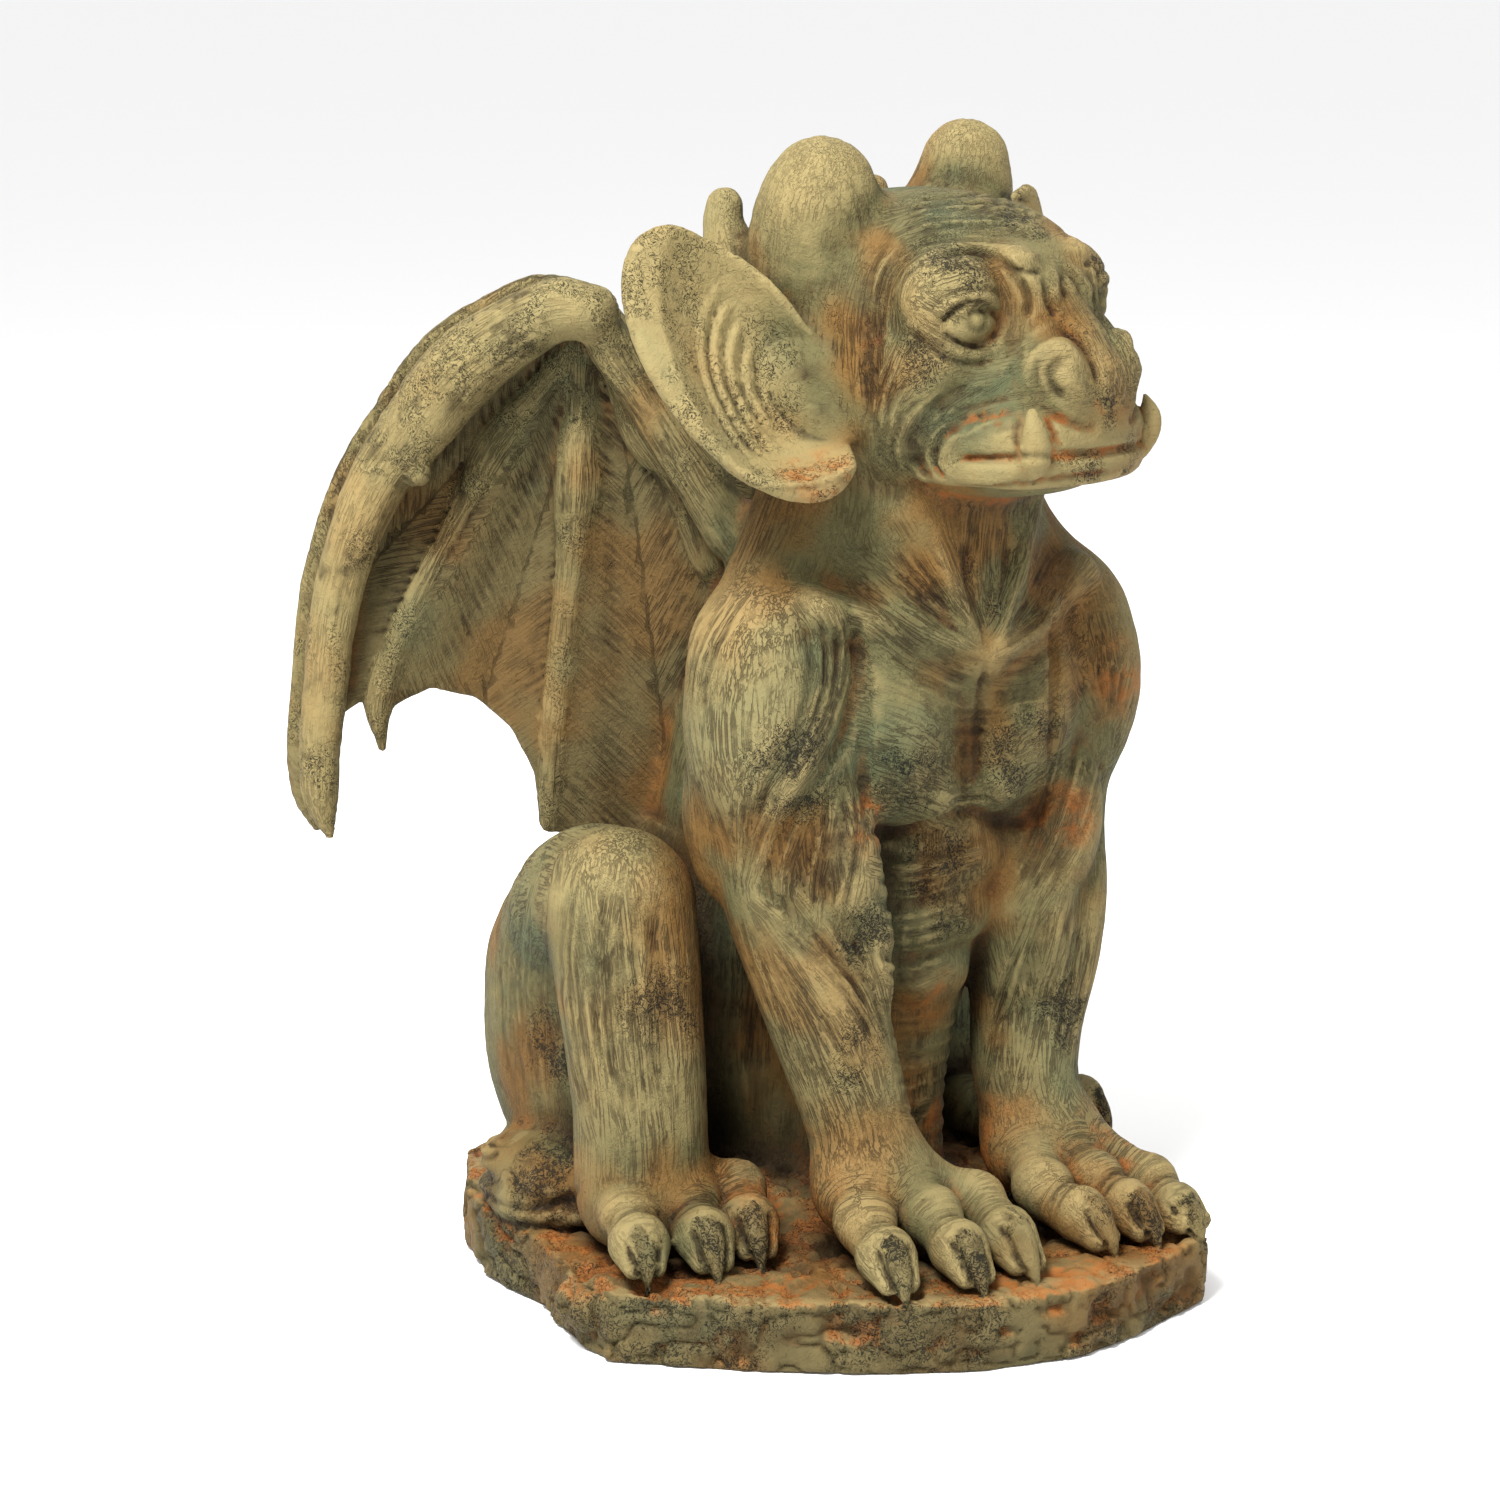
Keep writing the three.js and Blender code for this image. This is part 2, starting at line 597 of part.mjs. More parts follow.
// The largest connected part of a mesh
function largestPart({ points, faces }) {
  const parent = points.map((_, i) => i);
  const find = (i) => {
    while (parent[i] !== i) {
      parent[i] = parent[parent[i]];
      i = parent[i];
    }
    return i;
  };
  for (const [a, b, c] of faces) {
    parent[find(a)] = find(b);
    parent[find(b)] = find(c);
  }
  const count = new Map();
  for (const [a] of faces) count.set(find(a), (count.get(find(a)) || 0) + 1);
  const best = [...count].sort((a, b) => b[1] - a[1])[0][0];
  return { points, faces: faces.filter(([a]) => find(a) === best) };
}

// How much the thinning minds an error at a place
function care([x, y, z]) {
  const l = Math.hypot(x, y + 75);
  if (z > 395 && l < 130) return 5;
  if (z < 90 && z > BASE_TOP + 1) return 2;
  return 1;
}

// Thins a mesh by closing the edges that matter least, by the squared distance to the planes
function thin({ points, faces }, target) {
  const count = points.length;
  const place = new Float64Array(count * 3);
  points.forEach((p, i) => place.set(p, i * 3));
  const quadric = new Float64Array(count * 10);
  const around = points.map(() => []);
  const alive = new Uint8Array(faces.length).fill(1);
  const version = new Int32Array(count);
  const corner = (v) => [place[v * 3], place[v * 3 + 1], place[v * 3 + 2]];
  const normalOf = (a, b, c) => cross(minus(b, a), minus(c, a));
  faces.forEach((face, f) => {
    const [a, b, c] = face.map(corner);
    const n = normalOf(a, b, c);
    const area = Math.hypot(...n);
    const [nx, ny, nz] = times(n, 1 / area);
    const d = -(nx * a[0] + ny * a[1] + nz * a[2]);
    const floor = Math.abs(d) < 1e-3 && nz < -0.999 ? 1000 : 1;
    const w = area * floor * care(a);
    const q = [nx * nx, nx * ny, nx * nz, nx * d, ny * ny, ny * nz, ny * d, nz * nz, nz * d, d * d];
    for (const v of face) {
      for (let i = 0; i < 10; i++) quadric[v * 10 + i] += q[i] * w;
      around[v].push(f);
    }
  });
  const error = (q, [x, y, z]) =>
    q[0] * x * x + 2 * q[1] * x * y + 2 * q[2] * x * z + 2 * q[3] * x + q[4] * y * y +
    2 * q[5] * y * z + 2 * q[6] * y + q[7] * z * z + 2 * q[8] * z + q[9];
  const bestPlace = (a, b) => {
    const q = new Float64Array(10);
    for (let i = 0; i < 10; i++) q[i] = quadric[a * 10 + i] + quadric[b * 10 + i];
    const pa = corner(a);
    const pb = corner(b);
    const mid = times(plus(pa, pb), 0.5);
    const span = Math.hypot(...minus(pa, pb));
    // A small pull to the middle keeps the solution steady on flat ground
    const pull = (q[0] + q[4] + q[7]) * 1e-4;
    const m00 = q[0] + pull;
    const m11 = q[4] + pull;
    const m22 = q[7] + pull;
    const r = [-q[3] + pull * mid[0], -q[6] + pull * mid[1], -q[8] + pull * mid[2]];
    const c00 = m11 * m22 - q[5] * q[5];
    const c01 = q[2] * q[5] - q[1] * m22;
    const c02 = q[1] * q[5] - q[2] * m11;
    const det = m00 * c00 + q[1] * c01 + q[2] * c02;
    let p = mid;
    if (Math.abs(det) > 1e-12) {
      const c11 = m00 * m22 - q[2] * q[2];
      const c12 = q[1] * q[2] - m00 * q[5];
      const c22 = m00 * m11 - q[1] * q[1];
      const s = [
        (c00 * r[0] + c01 * r[1] + c02 * r[2]) / det,
        (c01 * r[0] + c11 * r[1] + c12 * r[2]) / det,
        (c02 * r[0] + c12 * r[1] + c22 * r[2]) / det,
      ];
      if (Math.hypot(...minus(s, mid)) < 2 * span) p = s;
    }
    if (pa[2] === 0 || pb[2] === 0) p = [p[0], p[1], 0];
    const shape = span * span * 0.02;
    return { p, cost: Math.max(0, error(q, p)) + shape };
  };

  // Heap of edges by cost
  const heap = [];
  const up = (i) => {
    const item = heap[i];
    while (i > 0) {
      const j = (i - 1) >> 1;
      if (heap[j].cost <= item.cost) break;
      heap[i] = heap[j];
      i = j;
    }
    heap[i] = item;
  };
  const down = () => {
    const item = heap[0];
    let i = 0;
    for (;;) {
      let j = 2 * i + 1;
      if (j >= heap.length) break;
      if (j + 1 < heap.length && heap[j + 1].cost < heap[j].cost) j++;
      if (heap[j].cost >= item.cost) break;
      heap[i] = heap[j];
      i = j;
    }
    heap[i] = item;
  };
  const offer = (a, b) => {
    const { p, cost } = bestPlace(a, b);
    heap.push({ a, b, p, cost, stamp: version[a] + version[b] });
    up(heap.length - 1);
  };
  const take = () => {
    const top = heap[0];
    const last = heap.pop();
    if (heap.length) {
      heap[0] = last;
      down();
    }
    return top;
  };
  const neighbours = (v) => {
    const set = new Set();
    for (const f of around[v]) for (const u of faces[f]) if (u !== v) set.add(u);
    return set;
  };
  faces.forEach(([a, b, c]) => {
    if (a < b) offer(a, b);
    if (b < c) offer(b, c);
    if (c < a) offer(c, a);
  });
  const folds = (v, other, p) =>
    around[v].some((f) => {
      const face = faces[f];
      if (face.includes(other)) return false;
      const before = normalOf(...face.map(corner));
      const after = normalOf(...face.map((u) => (u === v ? p : corner(u))));
      const size = Math.hypot(...after);
      return dot(before, after) < 0.3 * size * Math.hypot(...before) || size < 0.02;
    });

  let left = faces.length;
  while (left > target && heap.length) {
    const { a, b, p, stamp } = take();
    if (version[a] < 0 || version[b] < 0 || stamp !== version[a] + version[b]) continue;
    const na = neighbours(a);
    const nb = neighbours(b);
    if (!na.has(b)) continue;
    let shared = 0;
    for (const v of na) if (nb.has(v)) shared++;
    if (shared !== 2 || folds(a, b, p) || folds(b, a, p)) continue;
    place.set(p, a * 3);
    for (let i = 0; i < 10; i++) quadric[a * 10 + i] += quadric[b * 10 + i];
    for (const f of around[b]) {
      if (faces[f].includes(a)) {
        alive[f] = 0;
        left--;
      } else {
        faces[f] = faces[f].map((v) => (v === b ? a : v));
        around[a].push(f);
      }
    }
    around[a] = around[a].filter((f) => alive[f]);
    for (const v of nb) around[v] = around[v].filter((f) => alive[f]);
    version[b] = -1;
    version[a]++;
    for (const v of neighbours(a)) offer(a, v);
  }
  const kept = faces.filter((_, f) => alive[f]);
  const number = new Map();
  const newPoints = [];
  const newFaces = kept.map((face) =>
    face.map((v) => {
      if (!number.has(v)) {
        number.set(v, newPoints.length);
        newPoints.push(corner(v));
      }
      return number.get(v);
    }),
  );
  return { points: newPoints, faces: newFaces };
}

sculpt();
const clay = largestPart(surface());
const carved = thin(clay, TRIANGLES);

const geometry = new THREE.BufferGeometry();
geometry.setAttribute("position", new THREE.Float32BufferAttribute(carved.points.flat(), 3));
geometry.setIndex(carved.faces.flat());
geometry.translate(-MIDDLE[0], -MIDDLE[1], 0);
geometry.computeVertexNormals();

const stone = new THREE.MeshStandardMaterial({ color: 0xa39a72, roughness: 0.85, metalness: 0 });
const statue = new THREE.Mesh(geometry, stone);
statue.name = "gargoyle_statue";

const group = new THREE.Group();
group.add(statue);

export default group;
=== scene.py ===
"""A seated gargoyle of aged cast stone: the finely carved, weathered form of the plain solid."""
import json
import math
import bpy
import numpy as np
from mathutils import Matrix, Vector

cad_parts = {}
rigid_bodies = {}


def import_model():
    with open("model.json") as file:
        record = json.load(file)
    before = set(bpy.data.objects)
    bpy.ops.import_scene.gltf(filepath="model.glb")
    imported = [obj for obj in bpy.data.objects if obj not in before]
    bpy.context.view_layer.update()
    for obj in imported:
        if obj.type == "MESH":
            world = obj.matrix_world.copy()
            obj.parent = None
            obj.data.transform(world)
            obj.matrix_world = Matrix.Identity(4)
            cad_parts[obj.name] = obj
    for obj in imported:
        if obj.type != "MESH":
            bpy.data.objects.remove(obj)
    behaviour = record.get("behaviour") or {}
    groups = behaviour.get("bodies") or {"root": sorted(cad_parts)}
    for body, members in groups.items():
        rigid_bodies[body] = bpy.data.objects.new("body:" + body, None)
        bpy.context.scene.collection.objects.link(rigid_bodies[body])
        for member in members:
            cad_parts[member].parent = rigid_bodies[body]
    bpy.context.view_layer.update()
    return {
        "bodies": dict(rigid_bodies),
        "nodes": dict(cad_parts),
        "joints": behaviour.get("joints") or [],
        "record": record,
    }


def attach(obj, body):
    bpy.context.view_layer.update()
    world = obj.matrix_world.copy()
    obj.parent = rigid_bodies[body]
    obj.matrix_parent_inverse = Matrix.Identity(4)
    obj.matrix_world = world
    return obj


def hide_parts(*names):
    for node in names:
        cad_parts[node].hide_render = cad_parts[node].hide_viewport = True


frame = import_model()

# The sculpture's own numbers are millimetres. They become the frame's metres in to_frame().
MM = 0.001
MIDDLE = np.array([0.0, -4.5, 0.0])
NODE = "gargoyle_statue"

# Grid of the clay, which holds the distance to the surface, negative inside
CELL = 1.5
LOW = np.array([-216.0, -213.0, -4.5])
HIGH = np.array([216.0, 204.0, 570.0])
FAR = 60.0
COUNT = np.ceil((HIGH - LOW) / CELL).astype(int) + 1
TRIANGLES = 198000

# Main sizes
BASE_TOP = 34
HEAD_CENTRE = np.array([0.0, -60.0, 460.0])
HEAD_TURN = math.radians(14)
WING_SWEEP = math.sqrt(0.5)
SIDES = (-1, 1)
EYE_TURNS = [i * math.pi / 6 for i in range(13)]

BODY_AXES = np.eye(3)
HEAD_AXES = np.array([
    [math.cos(HEAD_TURN), math.sin(HEAD_TURN), 0],
    [math.sin(HEAD_TURN), -math.cos(HEAD_TURN), 0],
    [0, 0, 1],
])

# What each place is made as, for its finish
KINDS = ["body", "base", "claw", "eye", "tusk", "horn", "ear", "membrane", "bone", "front", "toad", "lip", "face"]

clay = np.full(COUNT, FAR, np.float32)
kinds = np.zeros(COUNT, np.uint8)
# How much dark wash the carved grooves hold, from 0 to 255
ink = np.zeros(COUNT, np.uint8)
# Curves that strands of hair follow: kind, run of points and radii, and turn away from the curve
guides = []


# Small helpers
def unit(v):
    v = np.asarray(v, float)
    return v / np.linalg.norm(v)


def lerp(a, b, t):
    return a + (b - a) * t


def ease(x, low, high):
    """Rises smoothly from 0 at low to 1 at high, which may lie below low."""
    t = np.clip((x - low) / (high - low), 0, 1)
    return t * t * (3 - 2 * t)


def head(l, f, u):
    """A place by its left, forward and up from the head's centre."""
    return HEAD_CENTRE + l * HEAD_AXES[0] + f * HEAD_AXES[1] + u * HEAD_AXES[2]


# Shapes are (low corner, high corner, distance, guide of their strands)
def egg(centre, radii, axes=BODY_AXES, guide=None):
    """An egg with three half sizes along its axes."""
    centre, radii, axes = np.asarray(centre, float), np.asarray(radii, float), np.asarray(axes, float)
    half = np.sqrt(((axes * radii[:, None]) ** 2).sum(0))

    def distance(x, y, z, reach):
        d = (x - centre[0], y - centre[1], z - centre[2])
        parts = [(d[0] * a[0] + d[1] * a[1] + d[2] * a[2]) / r for a, r in zip(axes, radii)]
        size = np.sqrt(sum(p * p for p in parts))
        slope = np.sqrt(sum((p / r) ** 2 for p, r in zip(parts, radii)))
        return size * (size - 1) / np.maximum(slope, 1e-4)

    return centre - half, centre + half, distance, guide


def muscle(start, end, width, depth=None, facing=(0, -1, 0)):
    """A long egg from one end to the other, with its width and its depth towards facing."""
    start, end = np.asarray(start, float), np.asarray(end, float)
    along = unit(end - start)
    aside = unit(np.cross(facing, along))
    half = np.linalg.norm(end - start) / 2
    axes = [aside, np.cross(along, aside), along]
    shares = [(0, 0.3), (0.25, 0.85), (0.5, 1), (0.75, 0.85), (1, 0.3)]
    guide = np.array([[*lerp(start, end, t), width * swell] for t, swell in shares])
    return egg((start + end) / 2, [width, depth or width, half], axes, guide)


def smooth_run(points, steps=4):
    """A smooth run of points through a few chosen ones, of any number of columns."""
    points = np.asarray(points, float)
    run = []
    for i in range(len(points) - 1):
        p0, p1, p2, p3 = points[np.clip(np.arange(i - 1, i + 3), 0, len(points) - 1)]
        for t in np.arange(steps) / steps:
            bend = (2 * p0 - 5 * p1 + 4 * p2 - p3) * t * t + (3 * p1 - p0 - 3 * p2 + p3) * t ** 3
            run.append(0.5 * (2 * p1 + (p2 - p0) * t + bend))
    run.append(points[-1])
    return np.array(run)


def tube(points, steps=4):
    """A round limb through points of x, y, z and radius."""
    run = smooth_run(points, steps)
    widest = run[:, 3].max()

    def distance(x, y, z, reach):
        grid = [x.ravel(), y.ravel(), z.ravel()]
        least = np.full([len(g) for g in grid], FAR, np.float32)
        for start, end in zip(run, run[1:]):
            far = max(start[3], end[3]) + reach
            low, high = np.minimum(start, end)[:3] - far, np.maximum(start, end)[:3] + far
            part = tuple(slice(*np.searchsorted(g, [a, b])) for g, a, b in zip(grid, low, high))
            dx = x[part[0]] - start[0]
            dy = y[:, part[1]] - start[1]
            dz = z[:, :, part[2]] - start[2]
            ax, ay, az, swell = end - start
            length = ax * ax + ay * ay + az * az
            t = np.clip((dx * ax + dy * ay + dz * az) / max(length, 1e-9), 0, 1)
            d = np.sqrt((dx - ax * t) ** 2 + (dy - ay * t) ** 2 + (dz - az * t) ** 2) - start[3] - swell * t
            least[part] = np.minimum(least[part], d)
        return least

    return run[:, :3].min(0) - widest, run[:, :3].max(0) + widest, distance, run


def outline_distance(corners, x, y):
    """Distance in the plane to an outline of corners, negative inside."""
    least = np.full(np.broadcast(x, y).shape, np.inf)
    inside = np.zeros(least.shape, bool)
    for (xi, yi), (xj, yj) in zip(corners, corners[-1:] + corners[:-1]):
        ex, ey = xj - xi, yj - yi
        t = np.clip(((x - xi) * ex + (y - yi) * ey) / (ex * ex + ey * ey), 0, 1)
        least = np.minimum(least, np.hypot(x - xi - ex * t, y - yi - ey * t))
        if yi != yj:
            inside ^= ((yi > y) != (yj > y)) & (x < ex * (y - yi) / ey + xi)
    return np.where(inside, -least, least)


def slab(corners, bottom, top, round_by):
    """A flat slab between two heights with a rounded edge."""
    plan = np.array(corners, float)

    def distance(x, y, z, reach):
        side = outline_distance(corners, x, y) + round_by
        rise = np.maximum(z - top, bottom - z) + round_by
        outside = np.hypot(np.maximum(side, 0), np.maximum(rise, 0))
        return np.minimum(np.maximum(side, rise), 0) + outside - round_by

    return np.array([*plan.min(0), bottom]), np.array([*plan.max(0), top]), distance, None


# Work on the clay
def around(low, high, reach):
    """The part of the grid round a box, and its x, y and z."""
    first = np.clip(np.floor((low - reach - LOW) / CELL), 0, COUNT - 1).astype(int)
    last = np.clip(np.ceil((high + reach - LOW) / CELL), 0, COUNT - 1).astype(int) + 1
    part = tuple(slice(a, b) for a, b in zip(first, last))
    x, y, z = ((LOW[i] + CELL * np.arange(first[i], last[i])).astype(np.float32) for i in range(3))
    return part, x[:, None, None], y[None, :, None], z[None, None, :]


def add(blend, shape, kind="body", turn=0):
    """Adds a shape, with a fillet of about blend where it meets the rest."""
    low, high, distance, guide = shape
    reach = blend + 2 * CELL
    part, x, y, z = around(low, high, reach)
    old = clay[part]
    new = distance(x, y, z, reach)
    fillet = np.maximum(blend - np.abs(old - new), 0) ** 2 / (4 * max(blend, 1e-6))
    kinds[part] = np.where(new < old, KINDS.index(kind), kinds[part])
    clay[part] = np.minimum(old, new) - fillet
    if guide is not None:
        guides.append((kind, guide, turn))


def cut(blend, shape, kind=None):
    """Cuts a shape out, with a rounded edge of about blend."""
    low, high, distance, _ = shape
    reach = blend + 2 * CELL
    part, x, y, z = around(low, high, reach)
    old = clay[part]
    new = -distance(x, y, z, reach)
    fillet = np.maximum(blend - np.abs(old - new), 0) ** 2 / (4 * max(blend, 1e-6))
    if kind:
        kinds[part] = np.where(new > old, KINDS.index(kind), kinds[part])
    clay[part] = np.maximum(old, new) + fillet


def ripple(centre, reach, height):
    """Raises the surface round a centre by height(x, y, z), in millimetres."""
    centre = np.asarray(centre, float)
    part, x, y, z = around(centre - reach, centre + reach, 0)
    clay[part] -= height(x, y, z)


def comb(points, kind="body", turn=0):
    """Strands run along a smooth line through points of x, y, z and radius."""
    guides.append((kind, smooth_run(points), turn))


# Camera at the photo's angle: from the front, to the object's right and a little above
TARGET = np.array([-52.0, 0.0, 258.0])
CAMERA_TURN = math.radians(-38)
CAMERA_RISE = math.radians(12)
CAMERA_AWAY = 2000.0
CAMERA_BACK = np.array([
    math.sin(CAMERA_TURN) * math.cos(CAMERA_RISE),
    -math.cos(CAMERA_TURN) * math.cos(CAMERA_RISE),
    math.sin(CAMERA_RISE),
])
CAMERA_RIGHT = np.array([math.cos(CAMERA_TURN), math.sin(CAMERA_TURN), 0])
CAMERA_UP = np.cross(CAMERA_BACK, CAMERA_RIGHT)
CAMERA_EYE = TARGET + CAMERA_AWAY * CAMERA_BACK
LENS = 100
SENSOR = 36
# Carved lines are placed by where the camera sees them, in a frame of this many steps across
FRAME = 1500


def clay_at(points):
    index = np.rint((points - LOW) / CELL).astype(int)
    x, y, z = np.clip(index, 0, COUNT - 1).T
    return np.where(((index >= 0) & (index < COUNT)).all(1), clay[x, y, z], FAR)


def rays_at(spots):
    """Directions from the camera to spots of its frame, one long along its axis."""
    across, up = ((np.asarray(spots, float) - FRAME / 2) * [1, -1] * SENSOR / LENS / FRAME).T
    return -CAMERA_BACK + across[:, None] * CAMERA_RIGHT + up[:, None] * CAMERA_UP


def depth_along(spots, step=2.0):
    """How far ahead of the camera the surface is at spots of its frame, or infinity."""
    reach = np.arange(CAMERA_AWAY - 260, CAMERA_AWAY + 300, step)
    places = CAMERA_EYE + reach[None, :, None] * rays_at(spots)[:, None, :]
    inside = clay_at(places.reshape(-1, 3)).reshape(len(spots), -1) < 0
    return np.where(inside.any(1), reach[np.argmax(inside, 1)], np.inf)


def seen(spots):
    """The surface points that the camera sees at spots of its frame."""
    depth = depth_along(spots, 1.0)
    hit = np.isfinite(depth)
    return CAMERA_EYE + depth[hit, None] * rays_at(spots)[hit]


def mirrored(points):
    """The same points on the head's other side."""
    d = (points - HEAD_CENTRE) @ HEAD_AXES.T
    return HEAD_CENTRE + (d * [-1, 1, 1]) @ HEAD_AXES


# How far below and above the surface a stroke acts
STROKE_SKIN = 7
# Strokes no wider than this hold the most dark wash
FINE_STROKE = 1.5


def stroke(points, width, height, washed=1.0):
    """Raises a soft ridge along points on the surface, or cuts a groove where height is negative."""
    if len(points) < 3:
        return
    fade = np.minimum(np.arange(len(points)), np.arange(len(points))[::-1])
    drop = width * np.clip(1.5 - fade * 0.75, 0, 1.5)
    low, high, distance, _ = tube(np.column_stack([points, -drop]), 1)
    part, x, y, z = around(low, high, 3 * width + STROKE_SKIN)
    old = clay[part]
    # Distance beside the line, apart from the depth below the surface
    beside = np.maximum(distance(x, y, z, 3 * width + STROKE_SKIN) ** 2 - old ** 2, 0)
    near = np.exp(-beside / width ** 2) * (np.abs(old) < STROKE_SKIN)
    clay[part] = old - height * near
    if height < 0:
        wash = 255 * washed * min(1, -height / 1.6) * min(1, FINE_STROKE / width) ** 1.5 * near ** 2
        ink[part] = np.maximum(ink[part], wash.astype(np.uint8))


def carve(spots, width, height, both=False, washed=1.0):
    """Carves a line seen at spots, and its mirror image on the head if it is on both sides."""
    points = seen(smooth_run(spots, 3))
    stroke(points, width, height, washed)
    if both:
        stroke(mirrored(points), width, height, washed)


LINE_CHANCE = np.random.default_rng(11)
# Millimetres between the lines of a family, and across one spot
LINE_PITCH = 3.4
SPOT_SIZE = 0.48


def lead(points, kind):
    """Strands follow points on the surface."""
    if len(points) > 3:
        guides.append((kind, np.column_stack([points, np.full(len(points), 5.0)]), 0))


def carve_between(first, last, width, height, both=False):
    """Carves a family of lines that lead over from the first to the last. Strands follow them."""
    first, last = smooth_run(first, 4), smooth_run(last, 4)
    for share in (0, 0.5, 1):
        points = seen(lerp(first, last, share))
        lead(points, "face" if both else "body")
        if both:
            lead(mirrored(points), "face")
    apart = np.linalg.norm(last - first, axis=1) * SPOT_SIZE
    count = max(2, round(apart.max() / LINE_PITCH))
    for number in range(count + 1):
        # Where lines crowd together, every other one stops
        step = number & -number or count
        room = apart * step / count > LINE_PITCH * 0.7
        run = lerp(first, last, (number + LINE_CHANCE.uniform(-0.2, 0.2)) / count)[room]
        start, stop = LINE_CHANCE.integers(0, 3, 2)
        run = run[start:len(run) - stop]
        if len(run) < 4:
            continue
        points = seen(run + np.cumsum(LINE_CHANCE.normal(0, 0.3, run.shape), 0))
        deep = height * LINE_CHANCE.uniform(0.6, 1.15)
        stroke(points, width, deep)
        if both:
            stroke(mirrored(points), width, deep)


# Base
BASE_OUTLINE = [
    (-150, 104), (-168, 62), (-172, 8), (-190, -48), (-191, -72), (-150, -121), (-96, -168), (-62, -189), (-14, -202),
    (28, -197), (64, -187), (82, -182), (107, -149), (133, -106), (153, -60), (160, -20), (166, 50), (146, 124),
    (80, 180), (-50, 184), (-118, 150),
]


def build_base():
    add(0, slab(BASE_OUTLINE, 0, BASE_TOP, 4), "base")
    # Log end at the left and a pebble on the ground
    add(3, tube([[-184, -40, 20, 11], [-189, -53, 20, 10]]), "base")
    add(3, egg([-50, 4, 46], [9, 9, 8]), "base")
    # Ground heaped up between the legs
    add(14, egg([0, 30, 28], [130, 120, 22]), "base")


# Body
def build_trunk():
    # Seat and pelvis
    add(0, egg([0, 72, 118], [92, 66, 92]))
    # Back from the seat to the neck
    add(40, tube([[0, 62, 130, 66], [0, 34, 220, 64], [0, -2, 300, 64], [0, -24, 360, 54]]))
    # Body behind the belly, down to the base
    add(24, tube([[0, 10, 240, 62], [0, 14, 180, 56], [0, 22, 110, 52], [0, 26, 30, 54]]))
    # Belly, narrowing down to the base
    add(22, tube([
        [0, -42, 226, 54], [0, -46, 200, 47], [0, -46, 165, 38], [0, -42, 125, 32], [0, -38, 80, 30], [0, -34, 30, 34],
    ]))
    # Ribs and shoulders
    add(24, egg([0, -30, 290], [80, 66, 62]))
    add(26, egg([0, -52, 318], [92, 42, 38]))
    # Neck, sloping to the shoulders
    for s in SIDES:
        add(20, tube([[s * 30, -44, 410, 24], [s * 60, -46, 366, 25], [s * 88, -54, 326, 27]]))
    add(30, tube([[0, -44, 330, 64], [0, -54, 390, 60], [2, -54, 440, 60]]))


def build_chest():
    for s in SIDES:
        add(7, egg([s * 38, -68, 288], [46, 45, 52]))
        add(8, egg([s * 33, -70, 264], [41, 39, 32]))
        # Square corners below
        add(8, egg([s * 54, -66, 252], [20, 34, 20]))
        add(8, egg([s * 20, -76, 250], [20, 33, 18]))
        for rise in (0, -22, -44):
            comb([[s * 88, -70, 318 + rise, 12], [s * 44, -98, 300 + rise, 14], [s * 5, -104, 280 + rise, 12]])
    # Groove between the breasts, down to the belly
    cut(5, tube([[0, -122, 312, 4], [0, -121, 280, 4], [0, -117, 240, 5]]))
    # Two cords from the neck to the notch, and the collar bones
    for s in SIDES:
        add(9, tube([[s * 4, -108, 314, 5], [s * 16, -107, 345, 7], [s * 34, -98, 385, 9]]))
        add(12, tube([[s * 6, -109, 314, 5], [s * 38, -103, 326, 6], [s * 82, -84, 342, 9]]))
    # Rows of belly muscles
    for z, y, x, r in [(212, -82, 17, 19), (183, -78, 15, 18), (155, -72, 10, 15)]:
        for s in SIDES:
            add(6, egg([s * (x - 2), y, z], [r - 2, 13, 13]))
    # Ribbed stretch below
    ripple([0, -74, 96], 46, lambda x, y, z: 0.5 * np.cos(z * 2 * math.pi / 9) * ease(z, 56, 70) * ease(z, 140, 128))


def build_arm(s):
    add(14, tube([
        [s * 90, -60, 314, 34], [s * 92, -64, 284, 35], [s * 84, -61, 245, 32], [s * 77, -63, 200, 31],
        [s * 65, -73, 150, 29], [s * 54, -82, 102, 26], [s * 53, -90, 80, 25],
    ]))
    # Shoulder muscle
    add(10, egg([s * 94, -62, 288], [33, 38, 56]))
    comb([[s * 92, -62, 342, 20], [s * 94, -62, 290, 36], [s * 88, -66, 232, 16]])
    # Front of the upper arm
    add(5, muscle([s * 74, -88, 262], [s * 64, -90, 184], 20, 20))
    # Back of the upper arm
    add(7, muscle([s * 98, -42, 290], [s * 92, -38, 196], 22, 24))
    # Forearm, outside and inside
    add(5, muscle([s * 94, -66, 240], [s * 64, -88, 112], 19, 27))
    add(6, muscle([s * 58, -80, 232], [s * 56, -87, 128], 18, 24))
    if s > 0:
        add(8, tube([[46, -64, 262, 16], [44, -72, 226, 20], [46, -78, 186, 20], [50, -84, 150, 18]]))


